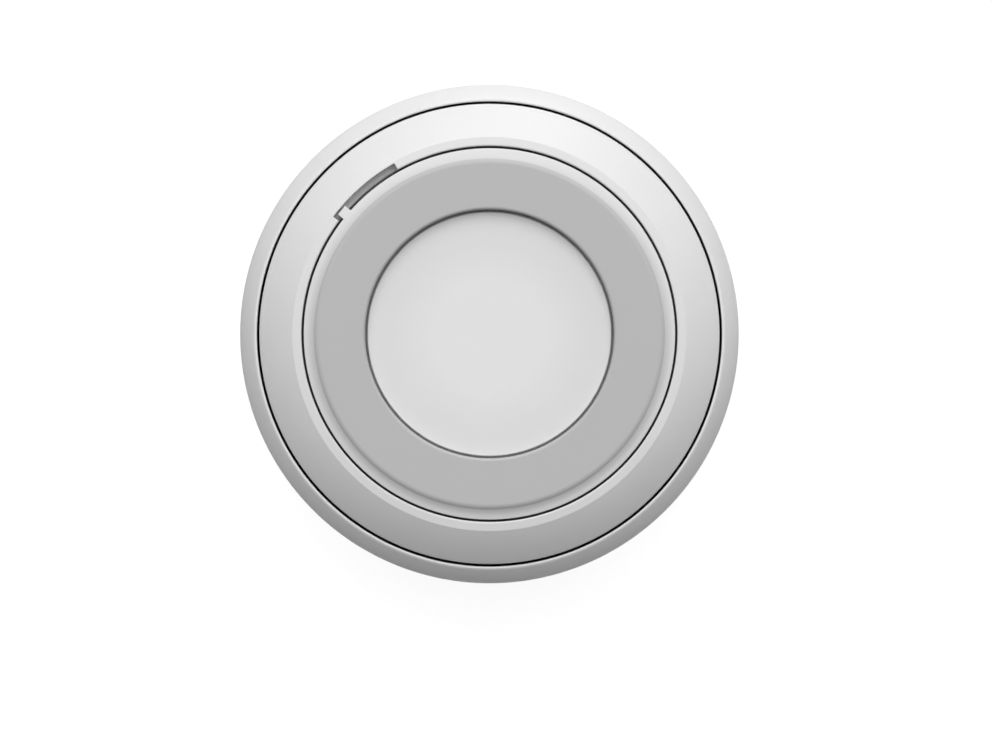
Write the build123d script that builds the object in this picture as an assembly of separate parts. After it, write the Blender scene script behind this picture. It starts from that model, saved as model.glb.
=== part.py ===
from build123d import *
import math
import os

# Round wireless panic button. Millimetres, +Z out of the pressed face, +Y towards 12 o'clock,
# origin at the centre of the underside of the adhesive pad.

# Radii and widths of the visible rings, from the middle outwards
cap_radius = 11.24
cap_gap = 0.24
grip_ring_width = 4.65
collar_rim_width = 1.01
collar_gap = 0.17
lip_width = 0.83
dome_width = 3.07
unit_gap = 0.20
base_wall = 1.59

# Slopes of the domed bezel and of the base's shoulder, in degrees from flat
dome_start_slope = 31.0
dome_end_slope = 42.5
base_lip_slope = 32.0
shoulder_start_slope = 45.0
shoulder_end_slope = 56.0
base_lip_width = 0.33
shoulder_width = 1.04
dome_edge_width = 0.10
lip_fall = 0.10

# Collar's rim, which is hollowed between the grey ring and its flat edge, and the grey ring's soft edge
rim_root_rise = 0.32
rim_root_slope = 32.0
rim_edge_slope = 10.0
rim_flat_width = 0.2
grip_edge_width = 0.47
grip_edge_slope = 35.0

# Index tab and its slot, in degrees from +X
tab_start_angle = 138.35
tab_end_angle = 141.8
slot_start_angle = 119.2
slot_end_angle = 143.15
tab_reach = 0.67
tab_thickness = 0.60
slot_width = 0.66
slot_depth = 1.15

# Base, from the surface it stands on upwards
pad_thickness = 1.0
base_rim_lift = 0.4
floor_thickness = 1.8
base_foot_inset = 0.6
base_foot_height = 1.3
base_foot_rounding = 0.7
pad_border = 3.4
pad_margin = 0.2
pad_hole_radius = 3.4
wall_screw_spacing = 20.0
wall_screw_radius = 1.75
wall_screw_head_radius = 2.9

# Magnets that hold the front unit, and the one that the board senses
magnet_radius = 2.5
magnet_height = 1.8
magnet_proud = 0.4
magnet_angles = (60.0, 180.0, 300.0)
keeper_thickness = 0.6
keeper_inner_wall = 0.55
keeper_outer_wall = 0.60
tamper_magnet_radius = 1.5
tamper_magnet_height = 1.2

# Front unit: skirt, cover and seal
skirt_wall = 1.41
skirt_lift = 0.4
cover_thickness = 1.2
seal_wire = 1.0
seal_rise = 4.8
edge_rounding = 0.12

# Cell and its holder
cell_radius = 12.25
cell_height = 5.0
cell_inset = 0.4
cell_can_height = 4.4
cell_step_width = 1.35
cell_gap = 0.15
contact_room = 0.4
holder_wall = 0.9
holder_plate = 0.6
holder_window_radius = 5.0
holder_lip = 0.45
holder_lip_angle = 24.0
contact_sheet = 0.2
contact_width = 3.0

# Circuit board and what it carries
board_thickness = 1.0
switch_side = 6.0
switch_height = 3.5
plunger_radius = 1.75
plunger_height = 1.0
plunger_depth = 1.9
plunger_travel = 0.3
module_length = 10.0
module_width = 12.0
module_thickness = 0.6
shield_height = 1.2
controller_side = 5.0
controller_height = 0.9
crystal_length = 3.2
crystal_width = 1.5
crystal_height = 0.8
led_length = 1.6
led_width = 0.8
led_height = 0.6
led_circle = 9.0
sensor_length = 2.9
sensor_width = 1.6
sensor_height = 1.1
chip_length = 1.0
chip_width = 0.5
chip_height = 0.4
chip_pitch = 1.6
chip_rows = 2
chip_columns = 4
board_spacing = 1.6
antenna_margin = 1.0
antenna_width = 0.8
antenna_height = 0.5
antenna_start_angle = 20.0
antenna_end_angle = 85.0
led_angles = (90.0, 270.0)
holder_lip_angles = (30.0, 150.0, 270.0)

# Screws: shank and head, shared by the case and the chassis, and smaller ones for the cam ring
screw_radius = 0.6
screw_head_radius = 1.05
screw_head_height = 0.7
screw_grip = 2.2
post_radius = 1.5
post_margin = 1.5
post_angles = (105.0, 225.0, 345.0)
boss_radius = 1.2
boss_angles = (45.0, 165.0, 285.0)
cam_screw_radius = 0.4
cam_screw_head_radius = 0.8
cam_screw_head_height = 0.45
cam_screw_grip = 1.4
cam_screw_inset = 1.05
cam_screw_angles = (90.0, 210.0, 330.0)
drive_slot_share = 0.35

# Chassis
chassis_thickness = 1.4
switch_window_gap = 0.35
spring_seat_width = 1.0
spring_seat_height = 0.6
light_hole_radius = 1.0

# Latches: a sliding plate with a pin that the cam ring draws outwards
latch_tip_gap = 0.15
latch_length = 5.25
latch_width = 4.0
latch_thickness = 0.8
latch_travel = 0.8
latch_snap = 0.6
latch_lift = 0.9
latch_pin_radius = 0.5
latch_pin_inset = 3.55
latch_pin_gap = 0.15
latch_rail_width = 0.9
latch_rail_gap = 0.4
latch_spring_wire = 0.12
latch_spring_radius = 0.3
latch_spring_turns = 5.0
latch_seat_thickness = 0.55
latch_seat_width = 2.4
latch_seat_margin = 0.15
latch_angles = (0.0, 180.0)

# Collar, its cam ring and the ledge that they turn on
collar_turn = 18.5
cam_leg_wall = 0.45
cam_ring_thickness = 0.9
cam_ring_gap = 0.3
cam_window_margin = 1.1
cam_window_wall = 0.4
ledge_overlap = 0.9
ledge_thickness = 0.95
ledge_slope_gap = 0.42
collar_clearance = 0.15
collar_floor_thickness = 0.9
rim_height = 0.4
grip_ring_height = 0.9
grip_inner_rounding = 0.37
bond_gap = 0.02

# Button cap
button_travel = 1.5
cap_recess = 1.1
cap_thickness = 1.2
cap_rounding = 0.15
cap_flange_width = 0.86
skirt_rim_gap = 0.04
cap_skirt_thickness = 0.9
cap_groove_depth = 0.9
stem_radius = 2.0
spring_rib_thickness = 0.6
spring_rib_height = 0.8

# Springs
return_spring_radius = 7.0
return_spring_wire = 0.5
return_spring_turns = 2.75
collar_spring_room = 0.6
collar_spring_wire = 0.4
collar_spring_start_angle = 300.0
collar_spring_sweep = 300.0
collar_spring_leg_reach = 1.7
collar_spring_leg_depth = 0.8

# Clearances
fit_gap = 0.05
face_gap = 0.05
sliding_gap = 0.1
side_gap = 0.2

# Radii that follow. The bezel is wide enough for its dome, and for the cell with the magnets round it
bore_radius = cap_radius + cap_gap
grip_ring_radius = bore_radius + grip_ring_width
collar_radius = grip_ring_radius + collar_rim_width
bezel_bore = collar_radius + collar_gap
lip_radius = bezel_bore + lip_width
cell_cap_radius = cell_radius - cell_step_width
holder_bore = cell_radius + cell_gap
holder_radius = holder_bore + holder_wall
cover_window = holder_radius + side_gap
post_circle = cover_window + post_margin + post_radius
magnet_circle = cover_window + keeper_inner_wall + fit_gap + magnet_radius
cover_room = magnet_circle + magnet_radius + fit_gap + keeper_outer_wall
bezel_radius = max(lip_radius + dome_width, cover_room + fit_gap + skirt_wall)
base_bore = bezel_radius + unit_gap
base_radius = base_bore + base_wall
base_foot_radius = base_radius - base_foot_inset
pad_radius = base_foot_radius - pad_border
skirt_radius = bezel_radius - skirt_wall
seal_radius = base_bore - fit_gap - seal_wire / 2
cover_radius = skirt_radius - fit_gap
chassis_radius = skirt_radius - side_gap
board_radius = chassis_radius - side_gap
antenna_circle = board_radius - antenna_margin - antenna_width / 2
plunger_bore = plunger_radius + sliding_gap
switch_window_radius = math.hypot(switch_side, switch_side) / 2 + switch_window_gap
spring_seat_radius = return_spring_radius - return_spring_wire / 2 - side_gap

# Heights that follow, from the surface upwards
floor_bottom = pad_thickness
floor_top = floor_bottom + floor_thickness
unit_bottom = floor_top + magnet_proud
cover_top = unit_bottom + cover_thickness
seal_level = unit_bottom + seal_rise
cell_bottom = unit_bottom + cell_inset
cell_top = cell_bottom + cell_height
holder_ceiling = cell_top + contact_room
board_bottom = holder_ceiling + holder_plate
board_top = board_bottom + board_thickness
switch_top = board_top + switch_height
plunger_top = switch_top + plunger_height
chassis_top = switch_top + sliding_gap
chassis_bottom = chassis_top - chassis_thickness
latch_bottom = chassis_top + latch_lift
latch_top = latch_bottom + latch_thickness
cam_bottom = latch_top + cam_ring_gap
cam_top = cam_bottom + cam_ring_thickness
ledge_bottom = cam_top + sliding_gap
ledge_top = ledge_bottom + ledge_thickness
collar_bottom = ledge_top + face_gap
collar_floor = collar_bottom + collar_floor_thickness
rim_top = collar_floor + rim_height
grip_top = collar_floor + grip_ring_height

# Radii of the button's skirt, the spring round it and the latches that follow
catch_radius = cap_radius - skirt_rim_gap
groove_radius = catch_radius - cap_groove_depth
cap_skirt_bore = groove_radius - cap_skirt_thickness
cap_flange_radius = cap_radius + cap_flange_width
collar_spring_radius = catch_radius + collar_spring_room + collar_spring_wire / 2
spring_leg_circle = collar_spring_radius + collar_spring_leg_reach
latch_tip = catch_radius + latch_tip_gap
latch_tail = latch_tip + latch_length
latch_seat = chassis_radius - latch_seat_margin - latch_seat_thickness
latch_spring_length = latch_seat - latch_tail
latch_pin_circle = latch_tip + latch_pin_inset

# Collar and cam ring radii that follow
cam_ring_inner = spring_leg_circle - collar_spring_wire / 2 - fit_gap - cam_leg_wall
cam_window_radius = latch_pin_circle + latch_travel + latch_pin_radius + sliding_gap
cam_ring_radius = cam_window_radius + cam_window_wall
ledge_radius = cam_ring_radius - ledge_overlap
collar_boss_radius = ledge_radius - collar_clearance
collar_boss_inner = cap_flange_radius + collar_clearance
cam_screw_circle = collar_boss_radius - cam_screw_inset
boss_circle = cam_ring_radius + side_gap + boss_radius

# Button levels that follow
cap_top = grip_top - cap_recess
cap_bottom = cap_top - cap_thickness
cap_flange_top = collar_bottom - face_gap
cap_groove_top = latch_top + face_gap + button_travel
catch_top = latch_bottom - face_gap + button_travel
catch_bottom = chassis_top + face_gap + button_travel
stem_bottom = plunger_top + button_travel - plunger_travel + face_gap / 2


def turned(outline):
    """Solid turned about Z from a closed outline of (radius, height)."""
    return revolve(Plane.XZ * make_face(outline), Axis.Z)


def ring(outer, inner, bottom, top):
    """Plain ring, or a disc where the inner radius is 0."""
    body = Pos(0, 0, bottom) * extrude(Circle(outer), top - bottom)
    if inner > 0:
        body -= Pos(0, 0, bottom) * extrude(Circle(inner), top - bottom)
    return body


def sector(outer, inner, start_angle, end_angle, bottom, top):
    """Part of a ring between two angles, in degrees from +X."""
    sweep_angle = end_angle - start_angle
    outer_arc = CenterArc((0, 0), outer, start_angle, sweep_angle)
    inner_arc = CenterArc((0, 0), inner, start_angle, sweep_angle)
    sides = [Line(inner_arc @ 0, outer_arc @ 0), Line(outer_arc @ 1, inner_arc @ 1)]
    face = make_face([outer_arc, inner_arc] + sides)
    return Pos(0, 0, bottom) * extrude(face, top - bottom)


def block(length, width, bottom, top, x=0.0, y=0.0):
    """Upright block centred on x and y."""
    return Pos(x, y, bottom) * extrude(Rectangle(length, width), top - bottom)


def on_circle(shape, radius, angles):
    """Copies of a shape, each moved out by the radius and turned to its angle."""
    return [Rot(0, 0, angle) * Pos(radius, 0, 0) * shape for angle in angles]


def slope_arc(start, start_slope, end_radius, end_slope):
    """Arc that falls outwards and steepens evenly from one slope to another."""
    first = math.radians(start_slope)
    last = math.radians(end_slope)
    middle = (first + last) / 2
    arc_radius = (end_radius - start[0]) / (math.sin(last) - math.sin(first))

    def point_at(slope):
        out = arc_radius * (math.sin(slope) - math.sin(first))
        down = arc_radius * (math.cos(first) - math.cos(slope))
        return (start[0] + out, start[1] - down)

    return ThreePointArc(start, point_at(middle), point_at(last))


def end_of(arc):
    """Outer end of an arc as (radius, height)."""
    end = arc @ 1
    return (end.X, end.Y)


def screw(shank, head, head_height, bottom, top):
    """Flat-headed screw with its head down, and a straight drive slot."""
    body = ring(head, 0, bottom, bottom + head_height) + ring(shank, 0, bottom, top)
    slot = block(2 * head, head * drive_slot_share, bottom, bottom + head_height / 2)
    return body - slot


def coil(radius, wire, height, turns):
    """Round wire wound into a helix about Z, with its wire inside the given height."""
    rise = height - wire
    path = Helix(rise / turns, rise, radius)
    section = Plane(origin=path @ 0, z_dir=path % 0) * Circle(wire / 2)
    return Pos(0, 0, wire / 2) * sweep(section, path=path, is_frenet=True)


def bezel_arc():
    """The domed part of the bezel's outline."""
    start = (lip_radius, rim_top - lip_fall)
    return slope_arc(start, dome_start_slope, bezel_radius - dome_edge_width, dome_end_slope)


def wall_screw_places():
    """The two wall screws, on the X axis."""
    half = wall_screw_spacing / 2
    return [(-half, 0), (half, 0)]


def adhesive_pad():
    """Foam pad with a clear hole at each wall screw."""
    pad = ring(pad_radius, 0, 0, pad_thickness)
    for x, y in wall_screw_places():
        pad -= Pos(x, y, 0) * extrude(Circle(pad_hole_radius), pad_thickness)
    return pad


def base_shell():
    """Outer cup with the rounded shoulder, screw holes and magnet pockets."""
    _, dome_edge = end_of(bezel_arc())
    lip_top = dome_edge - unit_gap * math.tan(math.radians(dome_end_slope))
    lip_fall_outside = base_lip_width * math.tan(math.radians(base_lip_slope))
    lip_end = (base_bore + base_lip_width, lip_top - lip_fall_outside)
    shoulder = slope_arc(lip_end, shoulder_start_slope, lip_end[0] + shoulder_width, shoulder_end_slope)
    corner = slope_arc(end_of(shoulder), shoulder_end_slope, base_radius, 90.0)
    foot_corner = base_foot_rounding / 3
    lower = FilletPolyline(
        corner @ 1,
        (base_foot_radius, base_foot_height),
        (base_foot_radius - base_foot_rounding, base_rim_lift),
        (pad_radius + pad_margin, base_rim_lift),
        (pad_radius + pad_margin, floor_bottom),
        (0, floor_bottom),
        (0, floor_top),
        (base_bore, floor_top),
        (base_bore, lip_top),
        lip_end,
        radius=[foot_corner, foot_corner, 0, 0, 0, 0, base_foot_rounding, edge_rounding],
    )
    shell = turned([shoulder, corner] + lower.edges())
    countersink = wall_screw_head_radius - wall_screw_radius
    for x, y in wall_screw_places():
        shell -= Pos(x, y, floor_bottom) * extrude(Circle(wall_screw_radius), floor_thickness)
        cone = Cone(wall_screw_radius, wall_screw_head_radius, countersink)
        shell -= Pos(x, y, floor_top - countersink / 2) * cone
    pocket = ring(magnet_radius + fit_gap, 0, unit_bottom - magnet_height, unit_bottom)
    shell -= on_circle(pocket, magnet_circle, magnet_angles)
    tamper_bottom = floor_top - tamper_magnet_height
    tamper_pocket = ring(tamper_magnet_radius + fit_gap, 0, tamper_bottom, floor_top)
    return shell - Pos(post_circle, 0, 0) * tamper_pocket


def base_magnets():
    """Three disc magnets that stand a little proud of the base's floor."""
    magnet = ring(magnet_radius, 0, unit_bottom - magnet_height, unit_bottom)
    return Compound(children=on_circle(magnet, magnet_circle, magnet_angles))


def tamper_magnet():
    """Small disc magnet, level with the base's floor."""
    tamper_bottom = floor_top - tamper_magnet_height
    return Pos(post_circle, 0, 0) * ring(tamper_magnet_radius, 0, tamper_bottom, floor_top)


def front_bezel():
    """Domed shell: lip with the index slot, ledge for the collar, skirt and screw bosses."""
    dome = bezel_arc()
    dome_edge = slope_arc(end_of(dome), dome_end_slope, bezel_radius, 90.0)
    skirt_bottom = unit_bottom + skirt_lift
    inner_step = latch_top + face_gap + ledge_slope_gap
    lower = FilletPolyline(
        dome_edge @ 1,
        (bezel_radius, skirt_bottom),
        (skirt_radius, skirt_bottom),
        (skirt_radius, inner_step),
        (lip_radius, ledge_bottom),
        (ledge_radius, ledge_bottom),
        (ledge_radius, ledge_top),
        (bezel_bore, ledge_top),
        (bezel_bore, rim_top),
        dome @ 0,
        radius=[edge_rounding, edge_rounding, 0, 0, edge_rounding, edge_rounding, 0, edge_rounding],
    )
    bezel = turned([dome, dome_edge] + lower.edges())
    slot_floor = rim_top - slot_depth
    slot_outer = bezel_bore + slot_width
    bezel -= sector(slot_outer, ledge_radius, slot_start_angle, slot_end_angle, slot_floor, grip_top)
    groove_half = seal_wire / 2 + sliding_gap
    groove_inner = seal_radius - seal_wire / 2 - face_gap
    bezel -= ring(base_bore, groove_inner, seal_level - groove_half, seal_level + groove_half)
    boss = ring(boss_radius, 0, chassis_top, ledge_bottom + sliding_gap)
    bezel += on_circle(boss, boss_circle, boss_angles)
    pilot = ring(screw_radius + fit_gap, 0, chassis_top, chassis_top + screw_grip + sliding_gap)
    bezel -= on_circle(pilot, boss_circle, boss_angles)
    return bezel


def unit_seal():
    """O-ring in the skirt's groove."""
    return Pos(0, 0, seal_level) * Torus(seal_radius, seal_wire / 2)


def unit_cover():
    """Back cover with the cell opening, three posts, keeper pockets and screw holes."""
    cover = ring(cover_radius, cover_window, unit_bottom, cover_top)
    cover += on_circle(ring(post_radius, 0, cover_top, board_bottom), post_circle, post_angles)
    keeper_pocket = ring(magnet_radius + fit_gap, 0, unit_bottom, unit_bottom + keeper_thickness)
    cover -= on_circle(keeper_pocket, magnet_circle, magnet_angles)
    screw_hole = ring(screw_radius + fit_gap, 0, unit_bottom, board_bottom)
    head_top = unit_bottom + screw_head_height + fit_gap
    head_hole = ring(screw_head_radius + fit_gap, 0, unit_bottom, head_top)
    cover -= on_circle(screw_hole + head_hole, post_circle, post_angles)
    return cover


def keeper_discs():
    """Three steel discs, level with the cover's underside."""
    disc = ring(magnet_radius, 0, unit_bottom, unit_bottom + keeper_thickness)
    return Compound(children=on_circle(disc, magnet_circle, magnet_angles))


def case_screws():
    """Three long screws from the cover into the chassis posts."""
    top = board_top + screw_grip
    one = screw(screw_radius, screw_head_radius, screw_head_height, unit_bottom + fit_gap, top)
    return Compound(children=on_circle(one, post_circle, post_angles))


def latch_guide():
    """Block under one latch, its two rails and the seat of its spring."""
    inner_end = collar_spring_radius + collar_spring_wire / 2 + latch_rail_gap
    seat_end = latch_seat + latch_seat_thickness
    length = seat_end - inner_end
    middle = (seat_end + inner_end) / 2
    outer_width = latch_width + 2 * (sliding_gap + latch_rail_width)
    guide = block(length, outer_width, chassis_top, latch_top + face_gap, middle)
    channel = latch_width + 2 * sliding_gap
    guide -= block(length, channel, latch_bottom, cam_top, middle)
    seat_middle = seat_end - latch_seat_thickness / 2
    guide += block(latch_seat_thickness, latch_seat_width, chassis_top, latch_top + face_gap, seat_middle)
    return guide & ring(chassis_radius - face_gap, 0, chassis_top, cam_top)


def chassis():
    """Plate above the board: posts, spring seat, latch guides, light holes and screw holes."""
    plate = ring(chassis_radius, switch_window_radius, chassis_bottom, chassis_top)
    seat_inner = spring_seat_radius - spring_seat_width
    plate += ring(spring_seat_radius, seat_inner, chassis_top, chassis_top + spring_seat_height)
    plate += on_circle(ring(post_radius, 0, board_top, chassis_bottom), post_circle, post_angles)
    plate += on_circle(latch_guide(), 0, latch_angles)
    pilot = ring(screw_radius + fit_gap, 0, board_top, board_top + screw_grip + sliding_gap)
    plate -= on_circle(pilot, post_circle, post_angles)
    shank_hole = ring(screw_radius + fit_gap, 0, chassis_bottom, chassis_top)
    head_top = chassis_bottom + screw_head_height + fit_gap
    head_hole = ring(screw_head_radius + fit_gap, 0, chassis_bottom, head_top)
    plate -= on_circle(shank_hole + head_hole, boss_circle, boss_angles)
    plate -= on_circle(ring(light_hole_radius, 0, chassis_bottom, chassis_top), led_circle, led_angles)
    leg_radius = collar_spring_wire / 2 + fit_gap
    leg_hole = ring(leg_radius, 0, chassis_top - collar_spring_leg_depth - fit_gap, chassis_top)
    plate -= on_circle(leg_hole, spring_leg_circle, (collar_spring_start_angle,))
    return plate


def chassis_screws():
    """Three screws from the chassis up into the bezel's bosses."""
    top = chassis_top + screw_grip
    one = screw(screw_radius, screw_head_radius, screw_head_height, chassis_bottom + fit_gap, top)
    return Compound(children=on_circle(one, boss_circle, boss_angles))


def circuit_board():
    """Round board with a hole for each case screw."""
    board = ring(board_radius, 0, board_bottom, board_top)
    board -= on_circle(ring(screw_radius + fit_gap, 0, board_bottom, board_top), post_circle, post_angles)
    return board


def switch_body():
    """Square tactile switch with the bore of its plunger."""
    body = block(switch_side, switch_side, board_top, switch_top)
    bore_bottom = switch_top - plunger_depth - plunger_travel - sliding_gap
    body -= ring(plunger_bore, 0, bore_bottom, switch_top)
    return body


def switch_plunger():
    """Round plunger of the tactile switch."""
    plunger = ring(plunger_radius, 0, switch_top - plunger_depth, plunger_top)
    return chamfer(plunger.edges().group_by(Axis.Z)[-1], edge_rounding)


def module_place():
    """Centre of the radio module on the board, clear of the switch."""
    return -(switch_side / 2 + module_length / 2 + board_spacing)


def radio_module():
    """Small board of the radio."""
    return block(module_length, module_width, board_top, board_top + module_thickness, module_place())


def radio_shield():
    """Tinned can over the radio, open underneath."""
    bottom = board_top + module_thickness
    length = module_length - chip_length
    width = module_width - 2 * chip_length
    top = bottom + shield_height
    wall = 2 * contact_sheet
    can = block(length, width, bottom, top, module_place())
    return can - block(length - wall, width - wall, bottom, top - contact_sheet, module_place())


def controller_place():
    """Centre of the microcontroller, right of the switch and towards 12 o'clock."""
    out = switch_side / 2 + controller_side / 2 + 2 * board_spacing
    return (out, controller_side)


def microcontroller():
    """Square packaged chip."""
    x, y = controller_place()
    return block(controller_side, controller_side, board_top, board_top + controller_height, x, y)


def crystal():
    """Small clock crystal beside the microcontroller."""
    x, y = controller_place()
    beside = y - controller_side / 2 - crystal_width / 2 - board_spacing / 2
    return block(crystal_length, crystal_width, board_top, board_top + crystal_height, x, beside)


def chip_parts():
    """Two rows of small chip resistors and capacitors."""
    x, y = controller_place()
    first_row = y - controller_side / 2 - crystal_width - 2 * board_spacing
    chips = []
    for row in range(chip_rows):
        for column in range(chip_columns):
            place_x = x + (column - (chip_columns - 1) / 2) * chip_pitch
            place_y = first_row - row * chip_pitch
            chips.append(block(chip_length, chip_width, board_top, board_top + chip_height, place_x, place_y))
    return Compound(children=chips)


def antenna():
    """Stamped strip that follows the board's edge from the microcontroller's side."""
    inner = antenna_circle - antenna_width / 2
    outer = antenna_circle + antenna_width / 2
    return sector(outer, inner, antenna_start_angle, antenna_end_angle, board_top, board_top + antenna_height)


def status_leds():
    """Two small lamps under the button, at 12 and 6 o'clock."""
    lamp = block(led_width, led_length, board_top, board_top + led_height)
    return Compound(children=on_circle(lamp, led_circle, led_angles))


def tamper_sensor():
    """Magnet sensor under the board, above the tamper magnet."""
    return block(sensor_width, sensor_length, board_bottom - sensor_height, board_bottom, post_circle)


def holder_window():
    """Half the width of the slot in the holder's wall for the positive contact."""
    return contact_width / 2 + side_gap


def battery_holder():
    """Cup that hangs from the board around the cell, with three lips under the cell's edge."""
    holder = ring(holder_radius, holder_bore, unit_bottom, board_bottom)
    holder += ring(holder_bore + bond_gap, holder_window_radius, holder_ceiling, board_bottom)
    lip_top = cell_bottom - face_gap
    for middle in holder_lip_angles:
        start = middle - holder_lip_angle / 2
        end = middle + holder_lip_angle / 2
        holder += sector(holder_bore + bond_gap, holder_bore - holder_lip, start, end, unit_bottom, lip_top)
    width = 2 * holder_window()
    slot = block(width, 3 * holder_wall, cover_top, holder_ceiling + sliding_gap, 0, holder_bore)
    foot = block(width, 2 * holder_wall + contact_width, holder_ceiling, board_bottom)
    return holder - slot - Pos(0, holder_bore + contact_width / 2, 0) * foot


def coin_cell():
    """Lithium coin cell with its smaller negative cap towards the board."""
    rounding = (cell_height - cell_can_height) / 2
    outline = FilletPolyline(
        (0, cell_bottom),
        (cell_radius, cell_bottom),
        (cell_radius, cell_bottom + cell_can_height),
        (cell_cap_radius, cell_bottom + cell_can_height),
        (cell_cap_radius, cell_top),
        (0, cell_top),
        radius=[0, rounding, rounding, 0, rounding / 2, 0],
        close=True,
    )
    return turned(outline.edges())


def positive_contact():
    """Bent strip against the cell's side, soldered under the board."""
    face = cell_radius + fit_gap
    leg = block(contact_width, contact_sheet, cover_top + side_gap, board_bottom, 0, face + contact_sheet / 2)
    foot = block(contact_width, contact_width, board_bottom - contact_sheet, board_bottom)
    return leg + Pos(0, face + contact_width / 2, 0) * foot


def negative_contact():
    """Leaf spring that reaches down through the holder's window to the cell's cap."""
    reach = holder_window_radius - 3 * side_gap
    touch = cell_top + fit_gap
    line = [
        (-reach, board_bottom - contact_sheet),
        (-reach / 2, board_bottom - contact_sheet),
        (0, touch),
        (reach / 2, touch),
        (reach, touch + contact_room / 2),
    ]
    raised = [(x, z + contact_sheet) for x, z in reversed(line)]
    face = make_face(Polyline(line + raised, close=True))
    return extrude(Plane.XZ * face, contact_width / 2, both=True)


def return_spring():
    """Compression spring between the chassis and the button cap."""
    spring = coil(return_spring_radius, return_spring_wire, cap_bottom - chassis_top, return_spring_turns)
    return Pos(0, 0, chassis_top) * spring


def collar_spring():
    """Wire spring round the button: one leg down into the chassis, one up into the cam ring."""
    level = chassis_top + face_gap + collar_spring_wire / 2
    first = math.radians(collar_spring_start_angle)
    last = math.radians(collar_spring_start_angle + collar_spring_sweep)
    loop = CenterArc((0, 0, level), collar_spring_radius, collar_spring_start_angle, collar_spring_sweep)

    def leg_points(angle, end_height):
        near = (collar_spring_radius * math.cos(angle), collar_spring_radius * math.sin(angle))
        far = (spring_leg_circle * math.cos(angle), spring_leg_circle * math.sin(angle))
        return [(near[0], near[1], level), (far[0], far[1], level), (far[0], far[1], end_height)]

    down = leg_points(first, chassis_top - collar_spring_leg_depth)
    up = leg_points(last, cam_bottom + collar_spring_leg_depth)
    section = Plane(origin=loop @ 0, z_dir=loop % 0) * Circle(collar_spring_wire / 2)
    body = sweep(section, path=loop)
    for leg in (down, up):
        body += rod(leg[0], leg[1]) + rod(leg[1], leg[2])
        body += Pos(*leg[0]) * Sphere(collar_spring_wire / 2)
        body += Pos(*leg[1]) * Sphere(collar_spring_wire / 2)
    return body


def rod(start, end):
    """Straight piece of the collar spring's wire."""
    line = Line(start, end)
    section = Plane(origin=line @ 0, z_dir=line % 0) * Circle(collar_spring_wire / 2)
    return extrude(section, line.length)


def collar():
    """Turning flange with the index tab, and the boss that the cam ring is screwed to."""
    root = (grip_ring_radius + bond_gap, rim_top + rim_root_rise)
    hollow = slope_arc(root, rim_root_slope, collar_radius - rim_flat_width, rim_edge_slope)
    _, hollow_end = end_of(hollow)
    rim_edge = hollow_end - rim_flat_width * math.tan(math.radians(rim_edge_slope))
    outline = FilletPolyline(
        hollow @ 1,
        (collar_radius, rim_edge),
        (collar_radius, collar_bottom),
        (collar_boss_radius, collar_bottom),
        (collar_boss_radius, cam_top),
        (collar_boss_inner, cam_top),
        (collar_boss_inner, collar_bottom),
        (bore_radius, collar_bottom),
        (bore_radius, collar_floor),
        (grip_ring_radius + bond_gap, collar_floor),
        hollow @ 0,
        radius=[edge_rounding, 0, 0, edge_rounding, 0, 0, 0, 0, 0],
    )
    flange = turned([hollow] + outline.edges())
    tab_outer = collar_radius + tab_reach
    tab_inner = collar_radius - collar_rim_width / 2
    tab_bottom = rim_edge - tab_thickness
    flange += sector(tab_outer, tab_inner, tab_start_angle, tab_end_angle, tab_bottom, rim_edge)
    pilot = ring(cam_screw_radius + fit_gap, 0, cam_top, cam_top + cam_screw_grip + sliding_gap)
    flange -= on_circle(pilot, cam_screw_circle, cam_screw_angles)
    return flange


def grip_ring():
    """Raised soft ring bonded into the collar's rebate."""
    edge = slope_arc((grip_ring_radius - grip_edge_width, grip_top), 0.0, grip_ring_radius, grip_edge_slope)
    outline = FilletPolyline(
        edge @ 1,
        (grip_ring_radius, collar_floor),
        (bore_radius, collar_floor),
        (bore_radius, grip_top),
        edge @ 0,
        radius=[0, 0, grip_inner_rounding],
    )
    return turned([edge] + outline.edges())


def cam_window():
    """Curved opening whose inner wall draws the latch's pin outwards as the collar turns."""
    pin_angle = math.degrees(latch_pin_radius / latch_pin_circle)
    start = math.radians(-pin_angle - cam_window_margin)
    end = math.radians(collar_turn + pin_angle + cam_window_margin)
    middle = (start + end) / 2
    near = latch_pin_circle - latch_snap - latch_pin_radius - sliding_gap
    far = latch_pin_circle + latch_travel - latch_pin_radius - sliding_gap / 2

    def point(radius, angle):
        return (radius * math.cos(angle), radius * math.sin(angle))

    inner_wall = ThreePointArc(point(near, start), point((near + far) / 2, middle), point(far, end))
    outer_wall = ThreePointArc(
        point(cam_window_radius, start),
        point(cam_window_radius, middle),
        point(cam_window_radius, end),
    )
    sides = [Line(inner_wall @ 0, outer_wall @ 0), Line(outer_wall @ 1, inner_wall @ 1)]
    face = make_face([inner_wall, outer_wall] + sides)
    return Pos(0, 0, cam_bottom) * extrude(face, cam_ring_thickness)


def cam_ring():
    """Ring under the bezel's ledge with a cam window for each latch and holes for its screws."""
    body = ring(cam_ring_radius, cam_ring_inner, cam_bottom, cam_top)
    body -= on_circle(cam_window(), 0, latch_angles)
    shank_hole = ring(cam_screw_radius + fit_gap, 0, cam_bottom, cam_top)
    head_top = cam_bottom + cam_screw_head_height + fit_gap
    head_hole = ring(cam_screw_head_radius + fit_gap, 0, cam_bottom, head_top)
    body -= on_circle(shank_hole + head_hole, cam_screw_circle, cam_screw_angles)
    leg_hole = ring(collar_spring_wire / 2 + fit_gap, 0, cam_bottom, cam_top)
    body -= on_circle(leg_hole, spring_leg_circle, (collar_spring_start_angle + collar_spring_sweep,))
    return body


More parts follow.
